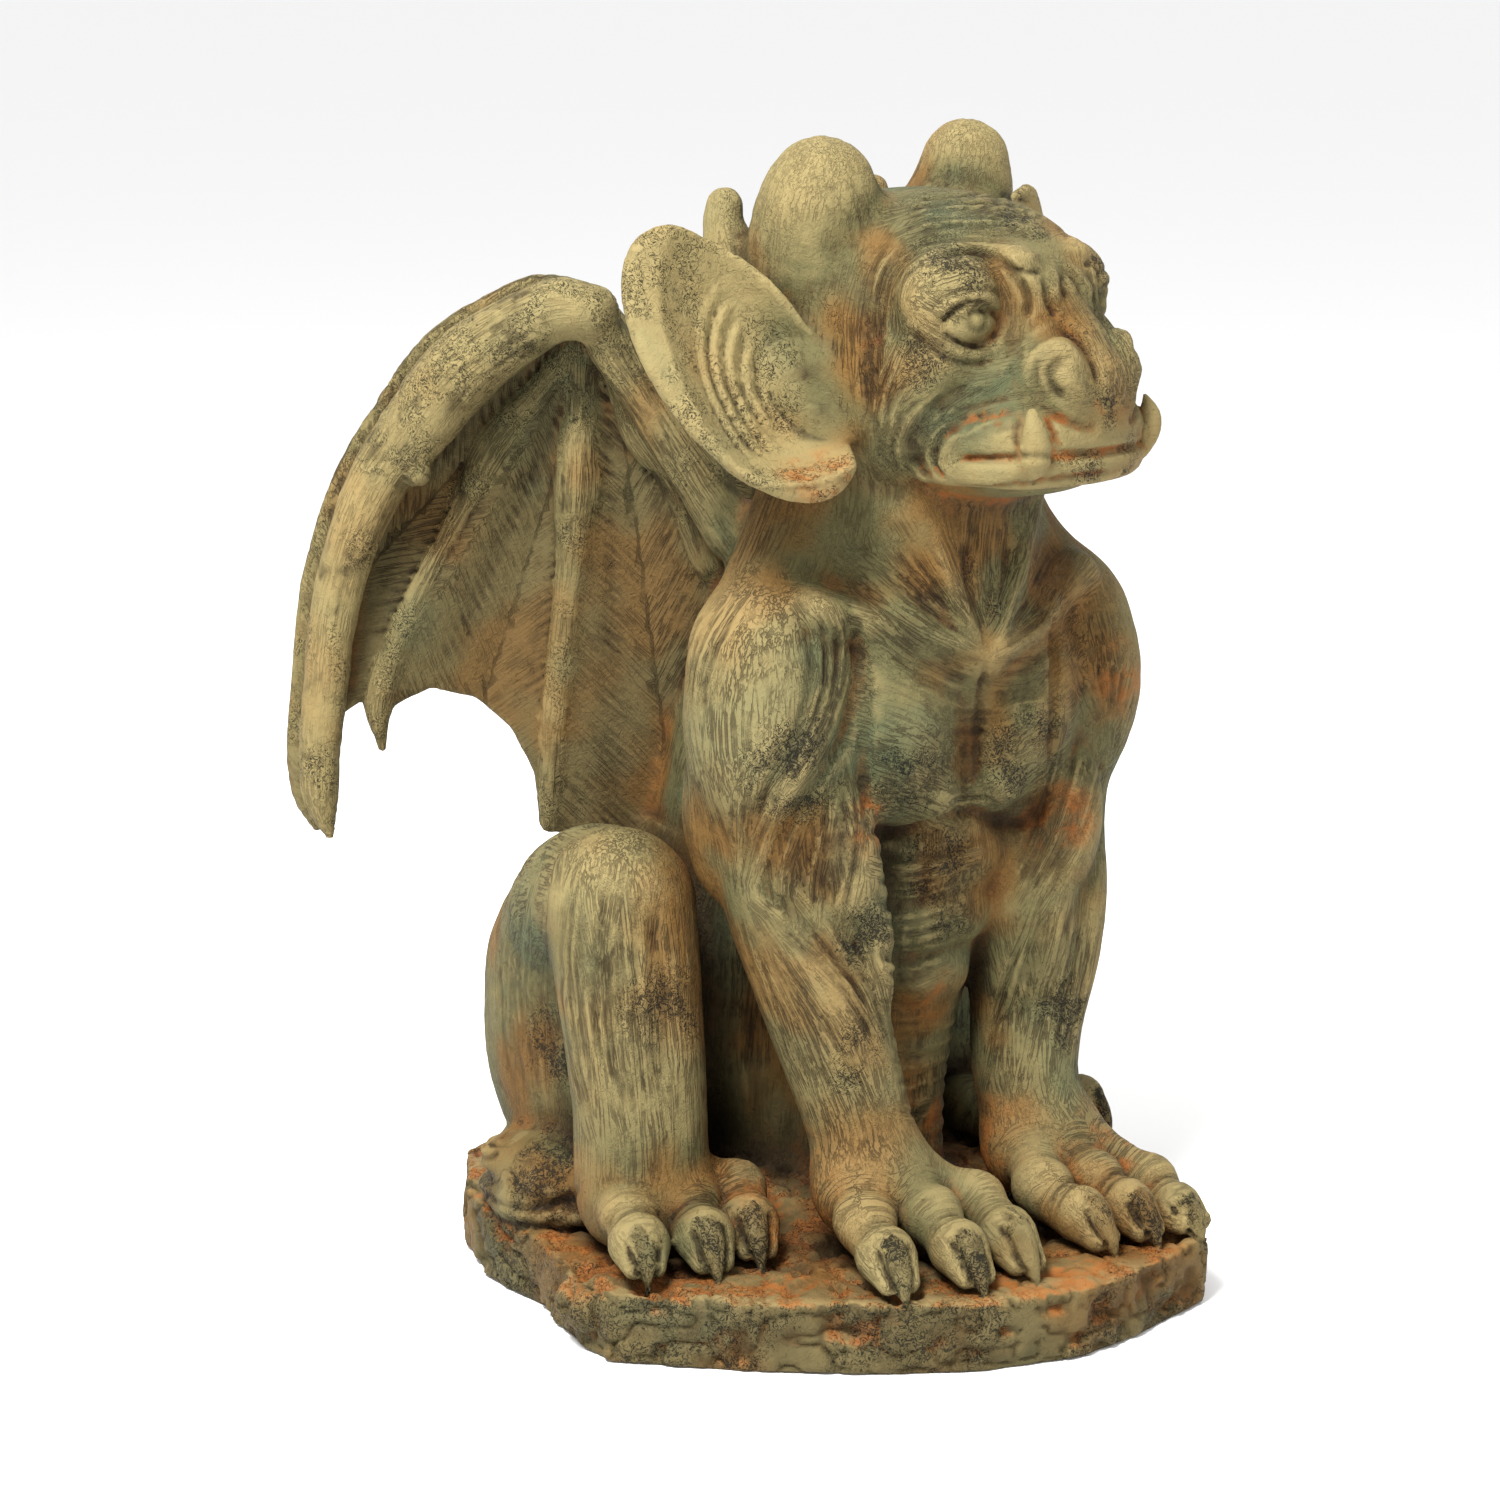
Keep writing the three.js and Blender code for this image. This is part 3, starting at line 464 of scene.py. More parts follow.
def build_toe(root, knuckle, tip, size):
    """A toe bends over two knuckles and ends in a claw between two folds. Its wrinkles run across it."""
    root, knuckle, tip = (np.array(p, float) for p in (root, knuckle, tip))
    second = np.array([*lerp(knuckle[:2], tip[:2], 0.5), knuckle[2] - 7])
    reach = tip - second
    aside = unit([reach[1], -reach[0], 0])

    def along(t, z):
        return second + [reach[0] * t, reach[1] * t, z - second[2]]

    across = math.pi / 2
    add(6, tube([[*root, size * 1.02], [*knuckle, size * 0.95], [*second, size * 0.86]]), turn=across)
    add(3, egg(knuckle + [0, 0, 2], [size * 1.16, size * 1.16, size * 1.06]))
    add(3, egg(second + [0, 0, 1], [size * 1.08, size * 1.08, size]))
    for side in SIDES:
        fold = aside * side * size * 0.5
        add(3, tube([
            [*(along(0.15, second[2] - 2) + fold), size * 0.62],
            [*(along(0.68, tip[2] + 6) + fold * 0.8), size * 0.4],
        ]))
    claw = [
        along(0.1, second[2] + size * 0.55), along(0.45, second[2] + size * 0.3),
        along(0.8, lerp(second[2], tip[2], 0.45)), along(1.04, tip[2]),
    ]
    add(0.5, tube([[*point, size * share] for point, share in zip(claw, [0.42, 0.5, 0.4, 0.12])]), "claw")
    carve_claw(second, aside, claw, size)


def carve_claw(second, aside, claw, size):
    """Wrinkles round the toe behind the claw, and grooves between the claw and its folds."""
    ahead = np.array([-aside[1], aside[0], 0]) * math.copysign(1, np.dot([-aside[1], aside[0]], (claw[3] - second)[:2]))
    for share in (-0.2, -0.55):
        turns = np.linspace(-0.1, 1.1, 9) * math.pi
        rise = np.column_stack([np.cos(turns), np.sin(turns)]) * size * 1.1
        middle = second + ahead * size * share
        stroke(middle + rise[:, :1] * aside + rise[:, 1:] * [0, 0, 1], 1.5, -1.2)
    for side in SIDES:
        edge = [point + aside * side * size * share for point, share in zip(claw, [0.45, 0.55, 0.42, 0.1])]
        stroke(smooth_run(np.array(edge), 3), 1.5, -1.6)
    stroke(smooth_run(np.array(claw) + [0, 0, size * 0.4], 3), 1.6, 1)


HAND_TIPS = {-1: [(-93, -167), (-58, -181), (-28, -183)], 1: [(76, -184), (52, -180), (27, -177)]}
HAND_KNUCKLES = {
    -1: [(-80, -122, 57), (-49, -133, 57), (-18, -128, 57)],
    1: [(80, -142, 50), (50, -136, 56), (20, -134, 57)],
}


def build_hand(s):
    wrist = (s * 53, -88)
    add(12, egg([s * 53, -100, 64], [33, 30, 26]))
    for (x, y), (kx, ky, kz) in zip(HAND_TIPS[s], HAND_KNUCKLES[s]):
        root = [lerp(wrist[0], kx, 0.45), lerp(wrist[1], ky, 0.45), 66]
        build_toe(root, [kx, ky, kz], [x, y, BASE_TOP + 1], 13)


# The left hind leg stands further back and closer in than the right one.
LEG_BACK = {-1: 0, 1: 42}
LEG_IN = {-1: 0, 1: 16}
FOOT_TIPS = [(171, -76), (142, -91), (115, -89)]
FOOT_KNUCKLES = [(158, -44), (127, -48), (97, -46)]


def build_leg(s):
    back = LEG_BACK[s]

    def aside(x):
        return s * (x - LEG_IN[s])

    # Haunch
    add(16, egg([aside(104), 60, 116], [46, 64, 86]))
    comb([[aside(104), 60, 186, 34], [aside(104), 60, 116, 56], [aside(104), 60, 50, 34]])
    # Thigh up to the knee
    thigh = [[aside(100), 64, 150, 48], [aside(120), 34 + back * 0.5, 184, 40], [aside(130), 8 + back, 192, 35]]
    add(14, tube(thigh))
    # Shin down to the foot
    add(5, tube([
        [aside(130), back, 194, 36], [aside(133), -12 + back, 150, 34],
        [aside(134), -20 + back, 105, 32], [aside(134), -22 + back, 66, 32],
    ]))
    add(10, egg([aside(132), -30 + back, 54], [36, 30, 24]))
    for (x, y), (kx, ky) in zip(FOOT_TIPS, FOOT_KNUCKLES):
        root = [aside(lerp(130, kx, 0.6)), lerp(-20, ky, 0.3) + back, 60]
        build_toe(root, [aside(kx), ky + back, 57], [aside(x), y + back, BASE_TOP + 1], 13)


# Head, in the head's own numbers: left, forward, up
def head_egg(centre, radii):
    return egg(head(*centre), radii, HEAD_AXES)


def head_tube(points, steps=4):
    return tube([[*head(l, f, u), r] for l, f, u, r in points], steps)


def head_comb(points, turn=0):
    """Strands on the head, on both sides."""
    for s in SIDES:
        comb([[*head(s * l, f, u), r] for l, f, u, r in points], "face", turn)


def comb_head():
    # From the jaw up the temple to the horn
    head_comb([[62, 12, -50, 10], [72, 12, -20, 10], [69, 8, 12, 12], [60, 10, 46, 12]])
    head_comb([[58, -30, -40, 18], [66, -30, 0, 18], [58, -30, 44, 18]])
    # Across the forehead
    for f, u in [(66, 44), (48, 58), (28, 66), (6, 68)]:
        head_comb([[0, f, u, 8], [24, f - 3, u - 2, 8], [46, f - 16, u - 8, 8]])
    # Round the corner of the mouth
    for r in (16, 30, 44):
        turns = np.radians([-80, -30, 20, 70, 110])
        head_comb([[60, 62 - r * math.cos(a), -46 + r * math.sin(a), 7] for a in turns])
    # From under the eye and along the muzzle to the lip
    head_comb([[62, 48, 4, 9], [50, 66, -6, 9], [34, 84, -4, 8]])
    head_comb([[34, 84, -6, 7], [46, 72, -18, 8], [58, 58, -30, 8]])
    head_comb([[0, 104, -30, 8], [26, 100, -32, 8], [50, 78, -34, 8]])
    # Down the back of the head
    head_comb([[30, -60, 40, 24], [34, -70, 0, 26], [34, -62, -40, 24]])


def build_skull():
    add(20, head_egg([0, -8, 5], [71, 76, 62]), "face")
    add(20, head_egg([4, 28, 26], [58, 50, 36]), "face")
    for s in SIDES:
        # Cheek
        add(12, head_egg([s * 48, 26, -24], [25, 36, 36]), "face")
        # Mound round the eye
        add(3, head_egg([s * 44, 48, 22], [25, 24, 23]), "face")
    # Middle of the brow
    add(10, head_egg([0, 60, 24], [26, 22, 20]), "face")


MUZZLE = [(-57, 50), (-55, 76), (-47, 96), (-24, 107), (0, 110), (24, 107), (47, 96), (55, 76), (57, 50)]
LIPS = [(-56, 62), (-53, 78), (-47, 96), (-24, 107), (0, 110), (24, 107), (47, 96), (53, 78), (56, 62)]


def round_muzzle(u, back, r, outline=MUZZLE):
    """A run round the muzzle at one height, set back from its edge."""
    return head_tube([[l * (1 - back / 60), f - back, u, r] for l, f in outline])


def build_muzzle():
    # Slope from the cheeks to the lip
    add(14, head_egg([0, 62, -18], [45, 40, 24]), "face")
    # Upper lip
    add(10, head_egg([0, 54, -35], [50, 50, 15]), "lip")
    add(9, round_muzzle(-38, 8, 9), "lip")
    add(12, head_egg([0, 70, -26], [44, 36, 18]), "face")
    # Lower jaw, deeper in its middle
    add(4, head_egg([0, 50, -55], [50, 50, 8]), "lip")
    add(4, round_muzzle(-54, 6, 6.5), "lip")
    add(10, head_egg([0, 46, -60], [42, 44, 11]), "lip")
    # Nose
    add(10, head_tube([[0, 74, 20, 12], [0, 86, 6, 13], [0, 97, -12, 14]]), "face")
    for s in SIDES:
        add(4, head_egg([s * 21, 87, -8], [15, 17, 16]), "face")


def build_face():
    for s in SIDES:
        fill_face(s)
        build_eye(s)
        build_nostril(s)
    # Mouth, with a thin lip above and below
    add(2, round_muzzle(-43.5, 3.5, 3, LIPS), "lip")
    add(2, round_muzzle(-51, 2.5, 3.6, LIPS), "lip")
    cut(1.5, round_muzzle(-47, -1, 1.8, LIPS), "lip")
    for s in SIDES:
        # Bag at the mouth's corner
        add(6, head_egg([s * 53, 56, -47], [7, 8, 10]), "face")
        # Fold from the nose down the cheek
        add(8, head_tube([[s * 33, 84, -3, 4], [s * 43, 72, -12, 4.5], [s * 53, 60, -24, 4]]), "face")
    build_tusks()


def fill_face(s):
    """Smooth skin between the mound, the frown and the nose."""
    add(8, head_tube([[s * 22, 70, 38, 8], [s * 19, 76, 24, 9], [s * 21, 78, 8, 9]]), "face")
    add(8, head_egg([s * 32, 67, 1], [12, 9, 12]), "face")


def build_eye(s):
    """An almond opening with an eyeball in it. Lids and iris are carved later."""
    add(10, head_egg([s * 49, 45, -4], [19, 22, 18]), "face")
    cut(1.5, head_egg([s * 49, 72.5, 12.5], [14, 6, 8.5]), "face")
    add(0.5, head_egg([s * 44, 57.5, 12.5], [20, 13.6, 12]), "eye")


def build_nostril(s):
    """The nose's wing. Its curl is carved later."""
    add(8, head_egg([s * 26, 90, -8], [11, 11, 12]), "face")
    add(8, head_egg([s * 18, 97, -17], [13, 9, 13]), "face")


# Tusks of the right and left side: foot, middle and tip
TUSKS = {
    -1: [[-44, 96, -50, 5.5], [-45, 98, -43, 6.8], [-46, 98, -34, 5.6], [-47, 97, -25, 2.4]],
    1: [[42, 97, -50, 5], [43, 101, -42, 5.5], [43, 102, -34, 4.5], [41, 100, -26, 1.5]],
}


def build_tusks():
    for points in TUSKS.values():
        add(1, head_tube(points), "tusk")


# Big horns: left, forward, extra height and the radius at the foot
HORNS = {-1: (48, -21, 0, 33), 1: (54, -14, 7, 29)}


def build_horns():
    for s in SIDES:
        l, f, rise, r = HORNS[s]
        add(12, head_tube([
            [s * (l - 4), f - 4, 42, r], [s * l, f, 60, r - 4], [s * (l + 1), f + 2, 68 + rise, r - 8],
        ]), "horn")
        add(6, head_tube([[s * 57, -64, 30, 14], [s * 58, -69, 50, 10], [s * 57, -69, 59, 9]]), "horn")


# Ear: a bowl in a plane of its own, open forwards, outwards and up. The left ear is tipped forwards.
EAR_FOOT = {-1: (-95, 9.5, -28), 1: (89, 13, -36)}
EAR_TIP = {-1: 0, 1: math.radians(16)}
EAR_OUT = unit([-0.45, 0.8, 0.39])
EAR_ALONG = np.array([-0.287, -0.545, 0.787])
EAR_HALF = (73, 42)
EAR_MIDDLE = (37, -11)
EAR_THICKNESS = 9
EAR_DEPTH = 28
EAR_CAVITY = (8, 12)
EAR_BALL = (10, 18)


def ear_axes(s):
    def turned(v):
        l, f, u = v
        tip = EAR_TIP[s]
        forward = f * math.cos(tip) + u * math.sin(tip)
        up = u * math.cos(tip) - f * math.sin(tip)
        return head(-s * l, forward, up) - HEAD_CENTRE

    return np.array([turned(EAR_ALONG), turned(np.cross(EAR_OUT, EAR_ALONG)), turned(EAR_OUT)])


def ear_depth(a, b):
    """Height of the ear's inner face: a bowl with crescent ridges round a smooth ball."""
    da = (a - EAR_CAVITY[0]) / np.where(a > EAR_CAVITY[0], 98, 40)
    db = (b - EAR_CAVITY[1]) / np.where(b > EAR_CAVITY[1], 24, 60)
    inside = np.minimum(np.hypot(da, db), 1)
    out = np.hypot((a - EAR_BALL[0]) / 69, (b - EAR_BALL[1]) / 56)
    band = ease(out, 0.3, 0.4) * ease(out, 0.98, 0.86) * ease(b, 14, 4) * ease(a, -8, 18)
    wave = (out - 0.38) / 0.145 % 1
    ridge = 3.4 * band * (np.minimum(wave / 0.7, (1 - wave) / 0.3) - 0.5)
    ball = np.hypot((a - EAR_BALL[0]) / np.where(a > EAR_BALL[0], 25, 30), (b - EAR_BALL[1]) / 15)
    return -EAR_DEPTH * (1 - inside * inside) - 2 + ridge + 11 * np.sqrt(ease(ball, 1.08, 0.2))


def ear(s):
    origin = head(*EAR_FOOT[s])
    axes = ear_axes(s)
    centre = origin + EAR_MIDDLE[0] * axes[0] + EAR_MIDDLE[1] * axes[1] - 14 * axes[2]
    half = np.sqrt(((axes * np.array([*EAR_HALF, 28])[:, None]) ** 2).sum(0))

    def distance(x, y, z, reach):
        d = (x - origin[0], y - origin[1], z - origin[2])
        a, b, c = (d[0] * v[0] + d[1] * v[1] + d[2] * v[2] for v in axes)
        u = (a - EAR_MIDDLE[0]) / EAR_HALF[0]
        v = (b - EAR_MIDDLE[1]) / EAR_HALF[1]
        r = np.hypot(u, v)
        rim = r * (r - 1) / np.maximum(np.hypot(u / EAR_HALF[0], v / EAR_HALF[1]), 1e-4)
        depth = ear_depth(a, b)
        slope = np.hypot(ear_depth(a + 1, b) - depth, ear_depth(a, b + 1) - depth)
        sheet = np.abs(c - depth) / np.hypot(1, slope) - EAR_THICKNESS / 2
        return np.maximum(rim, sheet) + np.maximum(6 - np.abs(rim - sheet), 0) ** 2 / 24

    return centre - half, centre + half, distance, None


# Wings, in numbers of their own: out along the sweep, up, and forward of the wing's plane
def wing_point(s, t, z, n):
    return [s * WING_SWEEP * (t + n), WING_SWEEP * (t - n), z]


SPAR = [
    (115, 466, 15), (133, 466, 17), (161, 450, 19), (182, 432, 20), (201, 408, 18), (219, 383, 16),
    (233, 352, 14), (242, 320, 13), (247, 285, 12), (251, 250, 11.5), (251, 226, 10), (247, 207, 3),
]
# The spar's back edge lies further out than its front edge
SPAR_BACK = 10
MEMBRANE = [
    (114, 474), (135, 472), (162, 453), (185, 430), (204, 406), (222, 380), (236, 350), (246, 318),
    (251, 284), (252, 262), (243, 264), (232, 272), (224, 262), (217, 269), (200, 277), (180, 271),
    (162, 256), (150, 234), (144, 206), (134, 204), (116, 200), (60, 160), (20, 200), (20, 360),
]
WRIST = (112, 466)
DIGITS = [
    [(126, 447, 8), (148, 420, 7), (168, 396, 10), (186, 361, 6), (204, 326, 6), (217, 296, 6), (224, 270, 6), (223, 248, 2)],
    [(124, 447, 9), (126, 411, 8), (127, 377, 11), (131, 337, 7), (135, 298, 7), (140, 253, 6), (143, 210, 4)],
    [(112, 446, 9), (103, 424, 8), (92, 406, 12), (76, 380, 9), (62, 343, 9)],
]
DIGIT_ANGLES = [-2.6, -1.92, -1.47, -1.05, -0.62]
SAG = 9


def membrane_forward(t, z):
    """How far the membrane stands forward: it sags between the digits, which spread from the wrist."""
    angle = np.arctan2(z - WRIST[1], t - WRIST[0])
    away = np.hypot(z - WRIST[1], t - WRIST[0])
    sag = np.zeros(angle.shape)
    for start, end in zip(DIGIT_ANGLES, DIGIT_ANGLES[1:]):
        share = (angle - start) / (end - start)
        sag = np.where((share >= 0) & (share < 1), SAG * np.minimum(1, away / 120) * (1 - np.abs(share * 2 - 1)), sag)
    return lerp(-8, 8, ease(t, 150, 245)) - sag


def membrane(s):
    corners = np.array([wing_point(s, t, z, n) for t, z in MEMBRANE for n in (-26, 26)])

    def distance(x, y, z, reach):
        t = WING_SWEEP * (s * x + y)
        n = WING_SWEEP * (s * x - y)
        steps = np.arange(math.floor(t.min()), math.ceil(t.max()) + 1, dtype=float)
        plan = outline_distance(MEMBRANE, steps[:, None], z[0])
        spot = np.interp(t, steps, np.arange(len(steps)))
        first = np.minimum(spot.astype(int), len(steps) - 2)[:, :, 0]
        share = (spot[:, :, 0] - first)[:, :, None]
        rim = plan[first] * (1 - share) + plan[first + 1] * share
        sheet = (np.abs(n - membrane_forward(t, z)) - 5) * 0.95
        return np.maximum(rim, sheet) + np.maximum(4 - np.abs(rim - sheet), 0) ** 2 / 16

    return corners.min(0), corners.max(0), distance, None


def build_wing(s):
    add(10, membrane(s), "membrane")

    def lay(path, ahead):
        return [[*wing_point(s, t, z, float(membrane_forward(np.float64(t), z)) + ahead), r] for t, z, r in path]

    for digit in DIGITS:
        add(5, tube(lay(digit, 3)), "bone")
    add(6, tube([[*wing_point(s, t + SPAR_BACK, z, 4), r * 0.92] for t, z, r in SPAR]), "bone", math.radians(60))
    add(5, tube([[*wing_point(s, t, z, 22), r * 0.92] for t, z, r in SPAR]), "front")
    # Groove along the spar between its two faces
    edge = np.array(SPAR, float)
    rise = np.gradient(edge[:, :2], axis=0)
    out = np.column_stack([-rise[:, 1], rise[:, 0]]) / np.linalg.norm(rise, axis=1)[:, None]
    rim = edge[1:-2, :2] + out[1:-2] * edge[1:-2, 2:] * 0.86
    cut(3, tube([[*wing_point(s, t + 6, z, 14), 4] for t, z in rim]))
    # Knobbly knuckle halfway
    for t, z, n, r in [(205, 398, 24, 13), (213, 388, 20, 10), (200, 388, 27, 8), (211, 401, 27, 7)]:
        add(3, egg(wing_point(s, t, z, n), [r, r, r * 0.8]), "bone")
    add(8, tube([
        [*wing_point(s, 106, 450, 14), 12], [*wing_point(s, 84, 414, 12), 11], [*wing_point(s, 48, 360, 12), 14],
    ]), "bone")


def carve_wing(s):
    """Strokes on the membrane's front, from each digit slanting down to the middle of the panel."""
    middle = [(a + b) / 2 for a, b in zip(DIGIT_ANGLES, DIGIT_ANGLES[1:])]
    for edge, angle in enumerate(DIGIT_ANGLES):
        for centre in middle[max(edge - 1, 0):edge + 1]:
            for away in np.arange(34, 262, STROKE_PITCH):
                shares = np.linspace(0.12, 0.86, 6)
                turns = angle + (centre - angle) * shares
                out = away * (1 + STROKE_SLANT * abs(centre - angle) * shares)
                t = WRIST[0] + out * np.cos(turns)
                z = WRIST[1] + out * np.sin(turns)
                inside = outline_distance(MEMBRANE, t, z) < -5
                t, z = t[inside], z[inside]
                if len(t) > 3:
                    ahead = membrane_forward(t, z) + 5
                    points = np.column_stack(wing_point(s, t, z, ahead))
                    stroke(points, 1.5, -1.4 * LINE_CHANCE.uniform(0.6, 1.2))


STROKE_PITCH = 5.5
STROKE_SLANT = 1.1


def build_toad():
    """Toad's head under the right haunch."""
    add(8, egg([-137, 40, 57], [31, 44, 19]), "toad")
    add(4, egg([-139, 44, 42], [32, 46, 10]), "toad")
    add(8, tube([[-136, 42, 40, 32], [-134, 40, 10, 34]]), "toad")
    add(3, egg([-162, 60, 61], [8, 9, 8]), "toad")


def carve_face():
    # Mound round the eye, with its lids and folds
    carve([(930, 262), (955, 252), (985, 253), (1008, 266), (1023, 284), (1029, 303), (1022, 322)], 2.2, -2.6, True)
    carve([(915, 262), (945, 246), (985, 245), (1015, 258), (1032, 280), (1038, 302)], 2.8, 1.2, True)
    carve([(893, 308), (902, 282), (916, 268), (932, 260)], 2, -1, True)
    carve([(931, 324), (947, 307), (964, 298), (984, 297), (1000, 307), (1006, 325)], 1.9, 1.3, True)
    carve([(936, 328), (949, 314), (964, 304), (979, 302), (991, 309), (998, 324)], 1.4, -1.8, True)
    carve([(925, 313), (943, 297), (965, 289), (992, 290), (1008, 301)], 1.3, -1, True)
    carve([(939, 328), (951, 338), (965, 345), (980, 347), (992, 340), (999, 326)], 1.2, -1.3, True)
    carve([(900, 322), (920, 326), (938, 337), (955, 350), (975, 356), (996, 351), (1008, 338)], 2.2, 1.6, True)
    carve([(903, 330), (925, 342), (946, 358), (972, 364), (1000, 358)], 1.6, -1.2, True)
    ring = [(977 + 9 * math.cos(a), 320 + 10 * math.sin(a)) for a in EYE_TURNS]
    carve(ring, 1.2, -0.9, True)
    carve([(972, 317), (977, 320), (982, 323)], 2.4, 0.8, True)
    # Frown between the eyes
    carve([(1054, 262), (1053, 285), (1057, 305), (1064, 320)], 3, 2.4, True)
    carve([(1046, 268), (1045, 290), (1050, 308), (1058, 322)], 2, -1.6, True)
    carve([(1063, 262), (1064, 285), (1067, 306)], 1.8, -1.8, True)
    carve([(1008, 262), (1030, 256), (1050, 256)], 2.4, 1.4, True)
    carve([(1014, 268), (1030, 272), (1046, 270)], 1.5, -1.8, True)
    # Nose: its edge, the wing's curl, and the pit with a smooth tongue
    carve([(1018, 350), (1038, 330), (1062, 324), (1084, 333), (1099, 356), (1105, 390), (1107, 414)], 2.8, 1.2, True)
    carve([(1024, 358), (1038, 342), (1060, 335), (1080, 345), (1093, 368), (1100, 398)], 1.5, -0.9, True)
    carve([(1034, 396), (1026, 378), (1034, 357), (1052, 346), (1070, 349), (1086, 366)], 2.6, 1.2, True)
    carve([(1070, 360), (1057, 362), (1050, 374), (1055, 389), (1070, 402)], 2.2, -2.4, True)
    carve([(1062, 372), (1076, 388), (1090, 408)], 3, 1.6, True)
    carve([(1046, 352), (1036, 368), (1038, 386), (1050, 400)], 1.4, -1, True)
    carve([(1086, 352), (1094, 370), (1098, 392)], 1.4, -1, True)
    carve([(1012, 386), (1014, 362), (1030, 338)], 2.4, -1, True)
    carve([(1038, 404), (1060, 418), (1085, 428), (1102, 426)], 2.4, -1.8, True)
    # Mouth
    carve([(956, 461), (980, 457), (1015, 456), (1050, 455), (1100, 450), (1146, 443)], 1.5, -1.4, washed=0.3)
    carve([(966, 451), (1010, 449), (1060, 446), (1105, 443), (1146, 436)], 1.6, 0.9)
    carve([(966, 468), (1010, 465), (1060, 462), (1110, 458), (1150, 452)], 1.8, 0.9)
    carve([(950, 484), (990, 487), (1030, 482), (1075, 476), (1115, 471), (1148, 466)], 1.6, -1.2)
    # Tusk's edges
    carve([(1022, 410), (1016, 432), (1018, 456)], 1.5, -1.4)
    carve([(1040, 408), (1052, 430), (1060, 454)], 1.5, -1.4)
    # Forehead, temple and cheek, whose lines are shallow and fine
    carve_between([(893, 262), (915, 246), (950, 240), (1000, 240), (1047, 246)],
                  [(903, 205), (935, 199), (975, 197), (1010, 199), (1032, 206)], 1.4, -1.3, True)
    carve_between([(868, 468), (864, 410), (861, 360), (861, 310), (872, 262), (900, 222)],
                  [(886, 346), (886, 326), (887, 306), (892, 286), (906, 264), (928, 250)], 1.4, -1.3, True)
    carve_between([(900, 346), (884, 382), (877, 420), (880, 452), (889, 472)],
                  [(935, 394), (910, 410), (896, 434), (893, 458), (903, 476)], 1.4, -1.3, True)
    carve_between([(1004, 374), (960, 386), (926, 406), (906, 434), (904, 460), (916, 480)],
                  [(978, 428), (957, 431), (941, 444), (936, 460), (942, 474), (958, 482)], 1.4, -1.3, True)
    carve_between([(1020, 398), (990, 404), (960, 418), (940, 436)],
                  [(1024, 424), (1000, 430), (980, 438), (962, 446)], 1.4, -0.9, True)


